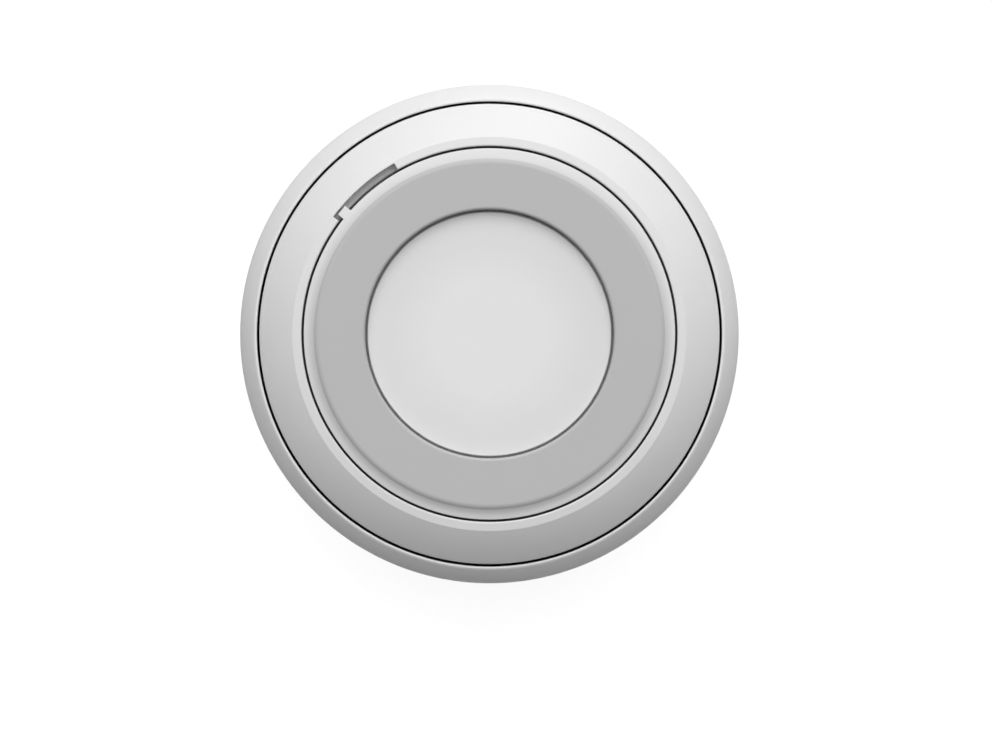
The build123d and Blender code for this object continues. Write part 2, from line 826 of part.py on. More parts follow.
def cam_screws():
    """Three small screws from the cam ring up into the collar."""
    top = cam_top + cam_screw_grip
    one = screw(cam_screw_radius, cam_screw_head_radius, cam_screw_head_height, cam_bottom + fit_gap, top)
    return Compound(children=on_circle(one, cam_screw_circle, cam_screw_angles))


def button_cap():
    """Pressed disc with its stop flange, skirt with the catch lip, spring rib and stem."""
    outline = FilletPolyline(
        (0, cap_top),
        (cap_radius, cap_top),
        (cap_radius, cap_flange_top),
        (cap_flange_radius, cap_flange_top),
        (cap_flange_radius, cap_groove_top),
        (groove_radius, cap_groove_top),
        (groove_radius, catch_top),
        (catch_radius, catch_top),
        (catch_radius, catch_bottom),
        (cap_skirt_bore, catch_bottom),
        (cap_skirt_bore, cap_bottom),
        (0, cap_bottom),
        radius=[0, cap_rounding, 0, 0, 0, 0, 0, 0, cap_rounding, 0, 0, 0],
        close=True,
    )
    cap = turned(outline.edges())
    rib_inner = return_spring_radius + return_spring_wire / 2 + side_gap
    cap += ring(rib_inner + spring_rib_thickness, rib_inner, cap_bottom - spring_rib_height, cap_bottom)
    return cap + ring(stem_radius, 0, stem_bottom, cap_bottom)


def latch():
    """Sliding plate with its pin, pointing at the button along -X."""
    middle = (latch_tip + latch_tail) / 2
    plate = block(latch_length, latch_width, latch_bottom, latch_top, middle)
    pin = ring(latch_pin_radius, 0, latch_top, cam_top - latch_pin_gap)
    return plate + Pos(latch_pin_circle, 0, 0) * pin


def latch_springs():
    """Two small springs that push the latches towards the button."""
    one = coil(latch_spring_radius, latch_spring_wire, latch_spring_length, latch_spring_turns)
    level = (latch_bottom + latch_top) / 2
    lying = Pos(latch_tail, 0, level) * Rot(0, 90, 0) * one
    return Compound(children=on_circle(lying, 0, latch_angles))


pieces = {
    "adhesive_pad": adhesive_pad(),
    "base_shell": base_shell(),
    "base_magnets": base_magnets(),
    "tamper_magnet": tamper_magnet(),
    "front_bezel": front_bezel(),
    "unit_seal": unit_seal(),
    "unit_cover": unit_cover(),
    "keeper_discs": keeper_discs(),
    "case_screws": case_screws(),
    "chassis": chassis(),
    "chassis_screws": chassis_screws(),
    "circuit_board": circuit_board(),
    "switch_body": switch_body(),
    "switch_plunger": switch_plunger(),
    "microcontroller": microcontroller(),
    "radio_module": radio_module(),
    "radio_shield": radio_shield(),
    "crystal": crystal(),
    "chip_parts": chip_parts(),
    "antenna": antenna(),
    "status_leds": status_leds(),
    "tamper_sensor": tamper_sensor(),
    "battery_holder": battery_holder(),
    "coin_cell": coin_cell(),
    "positive_contact": positive_contact(),
    "negative_contact": negative_contact(),
    "return_spring": return_spring(),
    "collar_spring": collar_spring(),
    "latch_springs": latch_springs(),
    "collar": collar(),
    "grip_ring": grip_ring(),
    "cam_ring": cam_ring(),
    "cam_screws": cam_screws(),
    "button_cap": button_cap(),
    "latch_right": latch(),
    "latch_left": Rot(0, 0, 180) * latch(),
}

os.makedirs("parts", exist_ok=True)
for name, piece in pieces.items():
    export_step(piece, f"parts/{name}.step")
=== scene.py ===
"""Round wireless panic button, dressed and lit for a plain studio picture.

Sizes are millimetres and angles are degrees, except where a docstring says otherwise, and a mesh
is in metres. The frame is the CAD model's: +Z out of the pressed face, +Y towards 12 o'clock,
origin under the middle of the foam pad.
"""

import logging
import math
from collections.abc import Callable, Sequence
from dataclasses import dataclass
from enum import Enum
from functools import cache

import bmesh
import bpy
from mathutils import Matrix, Vector


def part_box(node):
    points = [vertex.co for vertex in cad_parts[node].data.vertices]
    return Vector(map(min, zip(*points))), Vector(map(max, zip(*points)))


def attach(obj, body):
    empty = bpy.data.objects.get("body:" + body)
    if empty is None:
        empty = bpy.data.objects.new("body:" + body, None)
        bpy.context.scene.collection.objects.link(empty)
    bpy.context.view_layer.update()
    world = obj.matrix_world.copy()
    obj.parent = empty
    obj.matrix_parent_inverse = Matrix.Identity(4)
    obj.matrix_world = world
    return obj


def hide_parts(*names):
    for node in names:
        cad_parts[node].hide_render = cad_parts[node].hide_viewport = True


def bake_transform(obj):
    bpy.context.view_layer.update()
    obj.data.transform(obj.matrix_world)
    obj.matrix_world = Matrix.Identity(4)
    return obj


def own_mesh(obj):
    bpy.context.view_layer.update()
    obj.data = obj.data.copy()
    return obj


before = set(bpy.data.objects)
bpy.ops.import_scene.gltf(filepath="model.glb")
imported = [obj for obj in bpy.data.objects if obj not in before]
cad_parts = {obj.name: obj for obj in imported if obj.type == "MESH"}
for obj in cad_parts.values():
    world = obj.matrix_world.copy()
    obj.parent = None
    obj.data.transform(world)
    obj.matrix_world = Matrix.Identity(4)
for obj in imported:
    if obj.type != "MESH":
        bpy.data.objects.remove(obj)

Point = tuple[float, float]
Size = tuple[float, float, float]
Colour = tuple[float, float, float]
Mesh = bpy.types.Mesh
Object = bpy.types.Object
Socket = bpy.types.NodeSocket

MM = 0.001
ROUND_STEPS = 384
HOLE_STEPS = 64
ARC_STEP = 14.0
SHARP_ANGLE = 33.0
FLAT_ANGLE = 1.0
SAME_LEVEL = 0.01
SAME_PLACE = 0.00002
SAME_CAD_PLACE = 0.001
QUARTER_TURN = [math.radians(angle) for angle in (0, 18, 36, 54, 72, 90)]

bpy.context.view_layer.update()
log = logging.getLogger("panic_button")


class Body(Enum):
    """The bodies that move on their own."""

    BASE = "base"
    UNIT = "front_unit"
    COLLAR = "turning_collar"
    BUTTON = "button"
    PLUNGER = "plunger"
    RIGHT_LATCH = "right_latch"
    LEFT_LATCH = "left_latch"


class Grain(Enum):
    """The kinds of fine surface that a finish can have."""

    SPARK = "spark-eroded mould texture"
    CELLS = "cut closed-cell foam"
    TURNED = "rings left by turning or pressing"
    DRAWN = "lines drawn along the sheet"
    SOLDER_MASK = "solder mask over copper tracks"


class Edge:
    """Radii of moulded and stamped edges, in millimetres."""

    HAIR = 0.03
    CRISP = 0.05
    THIN = 0.06
    FINE = 0.08
    PLAIN = 0.10
    SOFT = 0.12
    EASED = 0.15
    ROUND = 0.20
    FULL = 0.25


class Tree:
    """A node tree while it is put together."""

    def __init__(self, tree: bpy.types.NodeTree) -> None:
        """Starts on a tree."""
        self.tree = tree

    def add(self, kind: str, settings: dict | None = None, **inputs: object) -> bpy.types.Node:
        """Adds a node.

        Args:
            kind: The node's type.
            settings: Properties of the node itself.
            inputs: Values or sockets by input name, with an underscore for a space.

        Returns:
            The new node.
        """
        node = self.tree.nodes.new(kind)
        for key, value in (settings or {}).items():
            setattr(node, key, value)
        self.fill(node, **inputs)
        return node

    def make(self, kind: str, settings: dict | None = None, **inputs: object) -> Socket:
        """First output of a new node."""
        return self.add(kind, settings, **inputs).outputs[0]

    def fill(self, node: bpy.types.Node, **inputs: object) -> None:
        """Fills a node's inputs by name, with an underscore for a space."""
        for key, value in inputs.items():
            self.feed(node.inputs[key.replace("_", " ")], value)

    def feed(self, socket: Socket, value: object) -> None:
        """Links a socket, or sets a plain value.

        Args:
            socket: The input to fill.
            value: Another node's output, or a value.
        """
        if isinstance(value, Socket):
            self.tree.links.new(value, socket)
        else:
            socket.default_value = value

    def maths(self, operation: str, first: object, second: object = 0.0) -> Socket:
        """One step of arithmetic.

        Args:
            operation: The Math node's operation.
            first: Its first value or socket.
            second: Its second value or socket.

        Returns:
            The result.
        """
        node = self.add("ShaderNodeMath", {"operation": operation})
        self.feed(node.inputs[0], first)
        self.feed(node.inputs[1], second)
        return node.outputs[0]

    def vector(self, x: object = 0.0, y: object = 0.0, z: object = 0.0) -> Socket:
        """Three numbers as a vector."""
        return self.make("ShaderNodeCombineXYZ", X=x, Y=y, Z=z)

    def remap(self, value: Socket, settings: dict | None = None, **limits: float) -> Socket:
        """A value stretched between limits such as From_Max or To_Min, each 0 or 1 where it isn't given."""
        return self.make("ShaderNodeMapRange", settings, Value=value, **limits)


class Shader(Tree):
    """The node tree of a material or the world."""

    def __init__(self, owner: bpy.types.Material | bpy.types.World) -> None:
        """Starts on the nodes that a new material or world has.

        Args:
            owner: The material or world.
        """
        owner.use_nodes = True
        super().__init__(owner.node_tree)
        self.owner = owner
        self.surface = next(node for node in self.tree.nodes if "Surface" not in node.inputs)
        self.place = self.add("ShaderNodeTexCoord").outputs["Object"]

    def noise(self, size: float, detail: float = 3.0, place: Socket | None = None) -> Socket:
        """Smooth noise from 0 to 1, with patches of a size in millimetres."""
        return self.make("ShaderNodeTexNoise", Vector=place or self.place, Scale=1 / (size * MM),
                         Detail=detail)

    def cells(self, size: float, settings: dict, **inputs: float) -> Socket:
        """Distance within Voronoi cells of a size in millimetres."""
        return self.make("ShaderNodeTexVoronoi", settings, Vector=self.place, Scale=1 / (size * MM), **inputs)

    def blend(self, share: Socket, first: Colour | Socket, second: Colour | Socket) -> Socket:
        """Mixes two colours, each plain or from a node.

        Args:
            share: How much of the second one, from 0 to 1.
            first: Colour at 0.
            second: Colour at 1.

        Returns:
            The mixed colour.
        """
        # The node's sockets for colours share their names with those for numbers, so they go by place.
        node = self.add("ShaderNodeMix", {"data_type": "RGBA"}, Factor=share)
        for socket, colour in zip(node.inputs[6:8], (first, second)):
            self.feed(socket, colour if isinstance(colour, Socket) else (*colour, 1.0))
        return node.outputs[2]

    def direct_view(self) -> Socket:
        """Tells the rays that show something from those that light other things.

        Returns:
            1 for rays from the camera, a mirror or clear plastic, and 0 for others.
        """
        rays = self.add("ShaderNodeLightPath").outputs
        mirrored = self.maths("MAXIMUM", rays["Is Glossy Ray"], rays["Is Transmission Ray"])
        return self.maths("MAXIMUM", rays["Is Camera Ray"], mirrored)

    def reach(self) -> Socket:
        """Distance from the Z axis.

        Returns:
            The distance in metres.
        """
        axes = self.add("ShaderNodeSeparateXYZ", Vector=self.place).outputs
        flat = self.vector(axes["X"], axes["Y"])
        return self.add("ShaderNodeVectorMath", {"operation": "LENGTH"}, Vector=flat).outputs["Value"]

    def raised(self, height: Socket, depth: float) -> Socket:
        """Normal bumped by a height from 0 to 1, where 1 is a depth in millimetres."""
        return self.make("ShaderNodeBump", Height=height, Distance=depth * MM, Strength=1.0)


@dataclass(frozen=True)
class Finish:
    """One surface finish, with its colour in linear light and its grain in millimetres."""

    name: str
    slot: str
    colour: Colour
    roughness: float
    grain: Grain = Grain.SPARK
    metallic: float = 0.0
    tone_spread: float = 0.02
    tone_patch: float = 5.0
    grain_size: float = 0.09
    grain_depth: float = 0.0022
    gloss_spread: float = 0.05
    specular: float = 0.5
    transmission: float = 0.0
    bubble_wall: float = 0.25
    line_stretch: float = 0.04
    cell_jitter: float = 0.85
    track_bands: float = 5.0
    track_edge: Point = (0.62, 0.78)
    hole_size: float = 0.07
    hole_colour: Colour = (0.62, 0.50, 0.25)

    @cache
    def material(self) -> bpy.types.Material:
        """Builds the node tree, once for each finish.

        Returns:
            The new material.
        """
        shader = Shader(bpy.data.materials.new(self.name))
        patches = shader.noise(self.tone_patch, detail=2.0)
        draw = {Grain.SPARK: self.spark, Grain.CELLS: self.cells, Grain.TURNED: self.turned,
                Grain.DRAWN: self.drawn, Grain.SOLDER_MASK: self.solder_mask}[self.grain]
        colour, height = draw(shader, patches)
        gloss = shader.remap(patches, To_Min=self.roughness - self.gloss_spread,
                             To_Max=self.roughness + self.gloss_spread)
        shader.fill(shader.surface, Metallic=self.metallic, Specular_IOR_Level=self.specular,
                    Transmission_Weight=self.transmission, Base_Color=colour, Roughness=gloss,
                    Normal=shader.raised(height, self.grain_depth))
        return shader.owner

    def shade(self, share: float) -> Colour:
        """The colour made lighter or darker by a share of itself."""
        return tuple(min(1.0, part * (1 + share)) for part in self.colour)

    def tones(self, shader: Shader, patches: Socket) -> Socket:
        """The colour, which drifts slightly over the surface."""
        return shader.blend(patches, self.shade(-self.tone_spread), self.shade(self.tone_spread))

    def spark(self, shader: Shader, patches: Socket) -> tuple[Socket, Socket]:
        """Fine pebbles that an eroded mould leaves.

        Args:
            shader: The tree to add to.
            patches: Slow noise.

        Returns:
            The colour and the height.
        """
        pebbles = shader.cells(self.grain_size, {"feature": "SMOOTH_F1"})
        fine = shader.noise(self.grain_size / 2, detail=2.0)
        return self.tones(shader, patches), shader.maths("ADD", pebbles, fine)

    def cells(self, shader: Shader, patches: Socket) -> tuple[Socket, Socket]:
        """Open bubbles of cut foam, with painted shade in their hollows.

        Args:
            shader: The tree to add to.
            patches: Slow noise, which this grain doesn't need.

        Returns:
            The colour and the height.
        """
        bubbles = shader.cells(self.grain_size, {"feature": "DISTANCE_TO_EDGE"})
        inside = shader.remap(bubbles, From_Max=self.bubble_wall)
        # Painted shade: the hollows of the bubbles are darker than their walls.
        colour = shader.blend(inside, self.shade(self.tone_spread), self.shade(-self.tone_spread))
        return colour, shader.maths("SUBTRACT", 1.0, inside)

    def turned(self, shader: Shader, patches: Socket) -> tuple[Socket, Socket]:
        """Colour and height of fine rings round the middle, as on a pressed or turned disc."""
        rings = shader.vector(shader.reach(), shader.maths("MULTIPLY", patches, MM))
        return self.tones(shader, patches), shader.noise(self.grain_size, place=rings)

    def drawn(self, shader: Shader, patches: Socket) -> tuple[Socket, Socket]:
        """Colour and height of fine lines along one way of the sheet."""
        along = shader.make("ShaderNodeMapping", Vector=shader.place, Scale=(self.line_stretch, 1.0, 1.0))
        return self.tones(shader, patches), shader.noise(self.grain_size, place=along)

    def solder_mask(self, shader: Shader, patches: Socket) -> tuple[Socket, Socket]:
        """Tracks that show lighter through the mask, with small bright holes between them.

        Args:
            shader: The tree to add to.
            patches: Slow noise, which this grain doesn't need.

        Returns:
            The colour and the height.
        """
        cells = shader.cells(self.grain_size, {"feature": "F1", "distance": "CHEBYCHEV"},
                             Randomness=self.cell_jitter)
        bands = shader.maths("PINGPONG", shader.maths("MULTIPLY", cells, self.track_bands), 1.0)
        tracks = shader.remap(bands, {"interpolation_type": "SMOOTHSTEP"}, From_Min=self.track_edge[0],
                              From_Max=self.track_edge[1])
        masked = shader.blend(tracks, self.shade(-self.tone_spread), self.shade(self.tone_spread))
        holes = shader.maths("LESS_THAN", cells, self.hole_size)
        return shader.blend(holes, masked, self.hole_colour), tracks


@dataclass(frozen=True)
class PaintedShadeFinish(Finish):
    """A moulding with painted shade: its colour darkens between two radii, in place of the shade that a
    raised neighbour casts on it.
    """

    start: float = 16.1
    end: float = 17.1
    darkest: float = 0.8

    def tones(self, shader: Shader, patches: Socket) -> Socket:
        """The usual colour, with painted shade that darkens it towards the start radius, next to the raised
        neighbour.

        Args:
            shader: The tree to add to.
            patches: Slow noise.

        Returns:
            The colour.
        """
        tone = super().tones(shader, patches)
        # Painted shade: a factor that runs from darkest at the start radius to 1 at the end radius.
        clear = shader.remap(shader.reach(), From_Min=self.start * MM, From_Max=self.end * MM,
                             To_Min=self.darkest, To_Max=1.0)
        return shader.make("ShaderNodeVectorMath", {"operation": "SCALE"}, Vector=tone, Scale=clear)


WHITE = Finish("white_moulding", "white_plastic", (0.80, 0.80, 0.80), 0.42)
# Painted shade on the collar's flange, darker towards the grey ring; its base colour is a little darker than
# WHITE.
RIM_WHITE_PAINTED_SHADE = PaintedShadeFinish("rim_moulding_painted_shade", "white_plastic", (0.75, 0.75, 0.75), WHITE.roughness)
# Painted shade on the button's top, darker towards its edge under the grey ring's wall.
CAP_WHITE_PAINTED_SHADE = PaintedShadeFinish("cap_moulding_painted_shade", "white_plastic", WHITE.colour, WHITE.roughness, start=11.3, end=5.0,
                  darkest=0.87)
# Painted shade: the floor of the slot in the lip is drawn dark grey, where the recess lies in shade.
SLOT_FLOOR_PAINTED_SHADE = Finish("slot_floor", "inner_plastic", (0.40, 0.40, 0.40), 0.6)
INNER_WHITE = Finish("inner_moulding", "inner_plastic", (0.66, 0.66, 0.65), 0.55, grain_depth=0.003)
GREY_GRIP = Finish("grip_rubber", "grey_grip", (0.505, 0.505, 0.505), 0.62, grain_size=0.06,
                   grain_depth=0.003)
SLIDER = Finish("slider_moulding", "slider_plastic", (0.11, 0.11, 0.12), 0.45)
FOAM = Finish("pad_foam", "foam", (0.72, 0.72, 0.70), 0.9, Grain.CELLS, tone_spread=0.2, grain_size=0.22,
              grain_depth=0.03, specular=0.2)
SEAL = Finish("seal_rubber", "seal_rubber", (0.035, 0.035, 0.037), 0.5, tone_spread=0.15, grain_depth=0.003)
# Painted shade: a near-black sheet on the ledge at the foot of the gap between bezel and collar, where there
# is only shade.
GAP_PAINTED_SHADE = Finish("gap_painted_shade", "slider_plastic", (0.02, 0.02, 0.02), 0.6, tone_spread=0.1)
# Painted shade: dark grey on the cap's seat at the foot of the gap round the cap.
CAP_GAP_PAINTED_SHADE = Finish("cap_gap_painted_shade", "seal_rubber", (0.36, 0.36, 0.36), 0.7, tone_spread=0.1)
SCREW_STEEL = Finish("screw_steel", "steel", (0.55, 0.54, 0.52), 0.3, Grain.TURNED, 1.0, grain_size=0.05)
SPRING_STEEL = Finish("spring_wire", "spring_steel", (0.47, 0.46, 0.45), 0.28, Grain.DRAWN, 1.0,
                      grain_size=0.03)
NICKEL = Finish("nickel_plate", "magnet_nickel", (0.62, 0.60, 0.56), 0.18, metallic=1.0, grain_depth=0.0008)
CELL_STEEL = Finish("cell_can", "cell_steel", (0.60, 0.60, 0.59), 0.26, Grain.TURNED, 1.0, grain_size=0.08,
                    grain_depth=0.0015)
CONTACT = Finish("plated_contact", "contact_metal", (0.72, 0.60, 0.36), 0.28, Grain.DRAWN, 1.0,
                 grain_size=0.04)
BOARD = Finish("board_mask", "board_green", (0.020, 0.105, 0.045), 0.33, Grain.SOLDER_MASK, tone_spread=0.35,
               grain_size=1.7, grain_depth=0.02, gloss_spread=0.03)
CHIP = Finish("chip_moulding", "chip_black", (0.022, 0.022, 0.024), 0.55, tone_spread=0.1, grain_size=0.05)
TIN = Finish("tinned_can", "tinned_can", (0.50, 0.50, 0.48), 0.38, Grain.DRAWN, 1.0, grain_size=0.06)
CERAMIC = Finish("chip_ceramic", "chip_tan", (0.30, 0.21, 0.13), 0.5, tone_spread=0.12, tone_patch=0.8,
                 grain_size=0.04)
LENS = Finish("lamp_lens", "led_lens", (0.86, 0.80, 0.50), 0.12, transmission=0.5, grain_depth=0.0004,
              gloss_spread=0.02)


@dataclass(frozen=True)
class Corner:
    """One corner of an outline: how far out, how far up, and the radius that rounds it."""

    out: float
    up: float
    rounding: float = 0.0

    @property
    def place(self) -> Vector:
        """The corner as a flat vector."""
        return Vector((self.out, self.up))


@dataclass(frozen=True)
class RoundedStep:
    """A step with a rounded start, a steep side and a rounded end, along the distance across it."""

    start_rounding: float
    side: float
    end_rounding: float

    def value(self, distance: float, rise: float) -> float:
        """How far the step has gone.

        Args:
            distance: Distance past the step's edge, in millimetres, negative before it.
            rise: The step's full height.

        Returns:
            The height from 0 to the full rise.
        """
        if distance <= -self.start_rounding:
            return 0.0
        if distance <= 0:
            past = distance + self.start_rounding
            return self.start_rounding - math.sqrt(max(0.0, self.start_rounding**2 - past**2))
        low, high = self.start_rounding, rise - self.end_rounding
        if distance <= self.side:
            return low + (high - low) * distance / self.side
        left = 1 - min(1.0, (distance - self.side) / self.end_rounding)
        return high + self.end_rounding * math.sqrt(max(0.0, 1 - left**2))

    def lines(self) -> list[float]:
        """Where a mesh needs a line across the step.

        Returns:
            Distances from outside to inside.
        """
        turns = [math.radians(angle) for angle in (0, 30, 55, 75, 90)]
        start = [-self.start_rounding * (1 - math.sin(turn)) for turn in turns]
        end = [self.side + self.end_rounding * (1 - math.cos(turn)) for turn in turns]
        margin = 0.03
        return [start[0] - margin, *start, *end, end[-1] + margin]


@dataclass(frozen=True)
class Arc:
    """A stretch of a circle about Z, between two angles in degrees."""

    start: float
    end: float
    out: float

    def into(self, angle: float) -> float:
        """Distance past the nearer end in millimetres, negative outside the arc."""
        return math.radians(min(angle - self.start, self.end - angle)) * self.out

    def columns(self, step: RoundedStep) -> list[float]:
        """Angles of a turned mesh's columns, with extra ones where a step runs in from both ends.

        Args:
            step: The step.

        Returns:
            The extra angles, with even ones wherever those leave room.
        """
        lines = [math.degrees(line / self.out) for line in step.lines()]
        fine = [self.start + line for line in lines] + [self.end - line for line in lines]
        even = [index * 360 / ROUND_STEPS for index in range(ROUND_STEPS)]
        room = 360 / ROUND_STEPS / 5
        return sorted([angle for angle in even if all(abs(angle - other) > room for other in fine)] + fine)


@dataclass(frozen=True)
class Ring:
    """Three places, evenly round Z."""

    radius: float
    first: float
    count: int = 3

    @property
    def places(self) -> list[Matrix]:
        """A move to each place."""
        turns = [math.radians(self.first + 360 / self.count * index) for index in range(self.count)]
        return [Matrix.Rotation(turn, 4, "Z") @ moved(self.radius, 0) for turn in turns]


MAGNETS = Ring(16.6, 60.0)
BOSSES = Ring(18.1, 45.0)
CASE_SCREWS = Ring(16.5, 105.0)
CAM_SCREWS = Ring(14.6, 90.0)


def corner_arc(before: Vector, at: Vector, after: Vector, rounding: float) -> list[Point]:
    """Arc that rounds a corner, with a point a little before and after it to keep the flats flat.

    Args:
        before: The corner before.
        at: The corner to round.
        after: The corner after.
        rounding: The arc's radius.

    Returns:
        Points along the outline.
    """
    back, onward = (before - at).normalized(), (after - at).normalized()
    half = back.angle(onward) / 2
    reach = rounding / math.tan(half)
    centre = at + (back + onward).normalized() * (rounding / math.sin(half))
    sweep = math.copysign(math.pi - 2 * half, -back.cross(onward))
    steps = max(2, math.ceil(math.degrees(abs(sweep)) / ARC_STEP))
    arc = [centre + Matrix.Rotation(sweep * step / steps, 2) @ (at + back * reach - centre)
           for step in range(steps + 1)]
    beside, at_most = rounding * 0.5, 0.4
    ends = [at + way * (reach + min(beside, ((other - at).length - reach) * at_most))
            for way, other in ((back, before), (onward, after))]
    return [(point.x, point.y) for point in (ends[0], *arc, ends[1])]


def outline(corners: Sequence[Corner]) -> list[Point]:
    """Closed outline through its corners, each rounded by its own radius.

    Args:
        corners: The corners in order.

    Returns:
        Points along the outline.
    """
    points: list[Point] = []
    for index, corner in enumerate(corners):
        if corner.rounding == 0:
            points.append((corner.out, corner.up))
            continue
        before, after = corners[index - 1].place, corners[(index + 1) % len(corners)].place
        points.extend(corner_arc(before, corner.place, after, corner.rounding))
    return points


def slope_arc(start: Point, start_slope: float, end_out: float, end_slope: float, steps: int) -> list[Corner]:
    """Arc that falls outwards and steepens evenly, without its first point.

    Args:
        start: Where it starts, as distance out and height.
        start_slope: Its first slope, in degrees from flat.
        end_out: How far out it ends.
        end_slope: Its last slope.
        steps: How many pieces it has.

    Returns:
        Corners along it, none of them rounded.
    """
    first, last = math.radians(start_slope), math.radians(end_slope)
    radius = (end_out - start[0]) / (math.sin(last) - math.sin(first))
    slopes = [first + (last - first) * step / steps for step in range(1, steps + 1)]
    return [Corner(start[0] + radius * (math.sin(slope) - math.sin(first)),
                   start[1] - radius * (math.cos(first) - math.cos(slope))) for slope in slopes]


def disc_corners(radius: float, bottom: float, top: float, rounding: float) -> list[Corner]:
    """Outline of a disc with rounded edges."""
    edges = [Corner(radius, height, rounding) for height in (bottom, top)]
    return [Corner(0, bottom), *edges, Corner(0, top)]


def plug_corners(radius: float, bottom: float, top: float, flare: float) -> list[Corner]:
    """Outline of a round cutter that widens at the mouth, so that the hole's edge is broken.

    Args:
        radius: The hole's radius.
        bottom: Height of the hole's floor.
        top: Height of the surface that it opens in.
        flare: How far the edge is broken.

    Returns:
        The corners.
    """
    above = top + 3 * flare
    return [
        Corner(0, bottom),
        Corner(radius, bottom, flare / 2),
        Corner(radius, top - flare, flare / 3),
        Corner(radius + 4 * flare, above),
        Corner(0, above),
    ]


def tidied(shape: bmesh.types.BMesh, name: str) -> Mesh:
    """Merges doubles, turns faces outwards and sets smooth shading with crisp edges.

    Args:
        shape: The mesh while it is edited, which is used up.
        name: Name of the result.

    Returns:
        The finished mesh.
    """
    bmesh.ops.remove_doubles(shape, verts=shape.verts, dist=SAME_PLACE * MM)
    loose = [edge for edge in shape.edges if not edge.link_faces]
    bmesh.ops.delete(shape, geom=loose, context="EDGES")
    bmesh.ops.recalc_face_normals(shape, faces=shape.faces)
    mesh = bpy.data.meshes.new(name)
    shape.to_mesh(mesh)
    shape.free()
    # Normals that came with a mesh no longer fit it once its corners are merged.
    outdated = mesh.attributes.get("custom_normal")
    if outdated:
        mesh.attributes.remove(outdated)
    mesh.shade_smooth()
    mesh.set_sharp_from_angle(angle=math.radians(SHARP_ANGLE))
    return mesh


def turned_mesh(name: str, column_at: Callable[[float], list[Point]], angles: Sequence[float]) -> Mesh:
    """Closed mesh of an outline carried round Z.

    Args:
        name: The mesh's name.
        column_at: Gives the closed outline at an angle, always with as many points.
        angles: Angles of the columns in degrees.

    Returns:
        The mesh, in metres.
    """
    shape = bmesh.new()
    columns = []
    for angle in angles:
        across, along = math.cos(math.radians(angle)) * MM, math.sin(math.radians(angle)) * MM
        points = column_at(angle)
        columns.append([shape.verts.new((out * across, out * along, up * MM)) for out, up in points])
    for column, following in zip(columns, columns[1:] + columns[:1]):
        for index in range(len(column)):
            nearer = index - 1
            shape.faces.new((column[nearer], column[index], following[index], following[nearer]))
    return tidied(shape, name)


def turned(name: str, corners: Sequence[Corner], steps: int = ROUND_STEPS) -> Mesh:
    """Closed mesh of one outline turned about Z in a number of steps."""
    points = outline(corners)
    return turned_mesh(name, lambda angle: points, [360 * step / steps for step in range(steps)])


def joined(name: str, meshes: Sequence[Mesh], moves: Sequence[Matrix] | None = None) -> Mesh:
    """Several meshes as one.

    Args:
        name: Name of the result.
        meshes: The meshes.
        moves: Where each of them goes, or None if they stay.

    Returns:
        The joined mesh.
    """
    shape = bmesh.new()
    for index, mesh in enumerate(meshes):
        part = mesh.copy()
        part.transform(moves[index] if moves else Matrix.Identity(4))
        shape.from_mesh(part)
    return tidied(shape, name)


def moved(x: float, y: float, z: float = 0.0) -> Matrix:
    """A shift in millimetres."""
    return Matrix.Translation((x * MM, y * MM, z * MM))


def copies(mesh: Mesh, moves: Sequence[Matrix]) -> list[Mesh]:
    """A copy of a mesh for each move."""
    return [joined(mesh.name, [mesh], [move]) for move in moves]


def box_mesh(name: str, low: Size, high: Size) -> Mesh:
    """Plain box.

    Args:
        name: The mesh's name.
        low: Its lowest corner in millimetres.
        high: Its highest corner.

    Returns:
        The mesh, in metres.
    """
    shape = bmesh.new()
    bmesh.ops.create_cube(shape, size=MM)
    size = [top - bottom for bottom, top in zip(low, high)]
    middle = [(top + bottom) / 2 for bottom, top in zip(low, high)]
    shape.transform(moved(*middle) @ Matrix.Diagonal((*size, 1)))
    return tidied(shape, name)


def linked(name: str, data: bpy.types.ID) -> Object:
    """Puts a new object into the scene.

    Args:
        name: Its name.
        data: Its mesh, light or camera.

    Returns:
        The object.
    """
    thing = bpy.data.objects.new(name, data)
    bpy.context.scene.collection.objects.link(thing)
    return thing


def finished(helper: Object) -> Mesh:
    """Applies the modifiers of a helper object, which is then removed.

    Args:
        helper: The object.

    Returns:
        Its plain mesh.
    """
    graph = bpy.context.evaluated_depsgraph_get()
    result = bpy.data.meshes.new_from_object(helper.evaluated_get(graph), depsgraph=graph)
    bpy.data.objects.remove(helper)
    return result


def drilled(mesh: Mesh, cutters: Sequence[Mesh]) -> Mesh:
    """A mesh with closed shapes taken out of it.

    Args:
        mesh: The solid.
        cutters: Closed shapes that don't touch each other.

    Returns:
        What is left, under the solid's name.
    """
    body, tool = linked("solid", mesh), linked("cutter", joined("cutter", cutters))
    cut = body.modifiers.new("cut", "BOOLEAN")
    cut.operation, cut.solver, cut.object = "DIFFERENCE", "EXACT", tool
    result = finished(body)
    bpy.data.objects.remove(tool)
    return joined(mesh.name, [result])


def show(name: str, mesh: Mesh, finish: Finish, body: Body | None, *stands_for: str) -> Object:
    """Puts a piece into the scene.

    Args:
        name: The piece's name.
        mesh: Its mesh.
        finish: What it is made of.
        body: The body that it moves with, or None to leave it in no body.
        stands_for: CAD nodes that it takes the place of.

    Returns:
        The new object.
    """
    mesh.materials.clear()
    mesh.materials.append(finish.material())
    piece = linked(name, mesh)
    if body:
        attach(piece, body.value)
    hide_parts(*stands_for)
    log.info("%s: %d faces, moves with %s", name, len(mesh.polygons), body.value if body else "two bodies")
    return piece


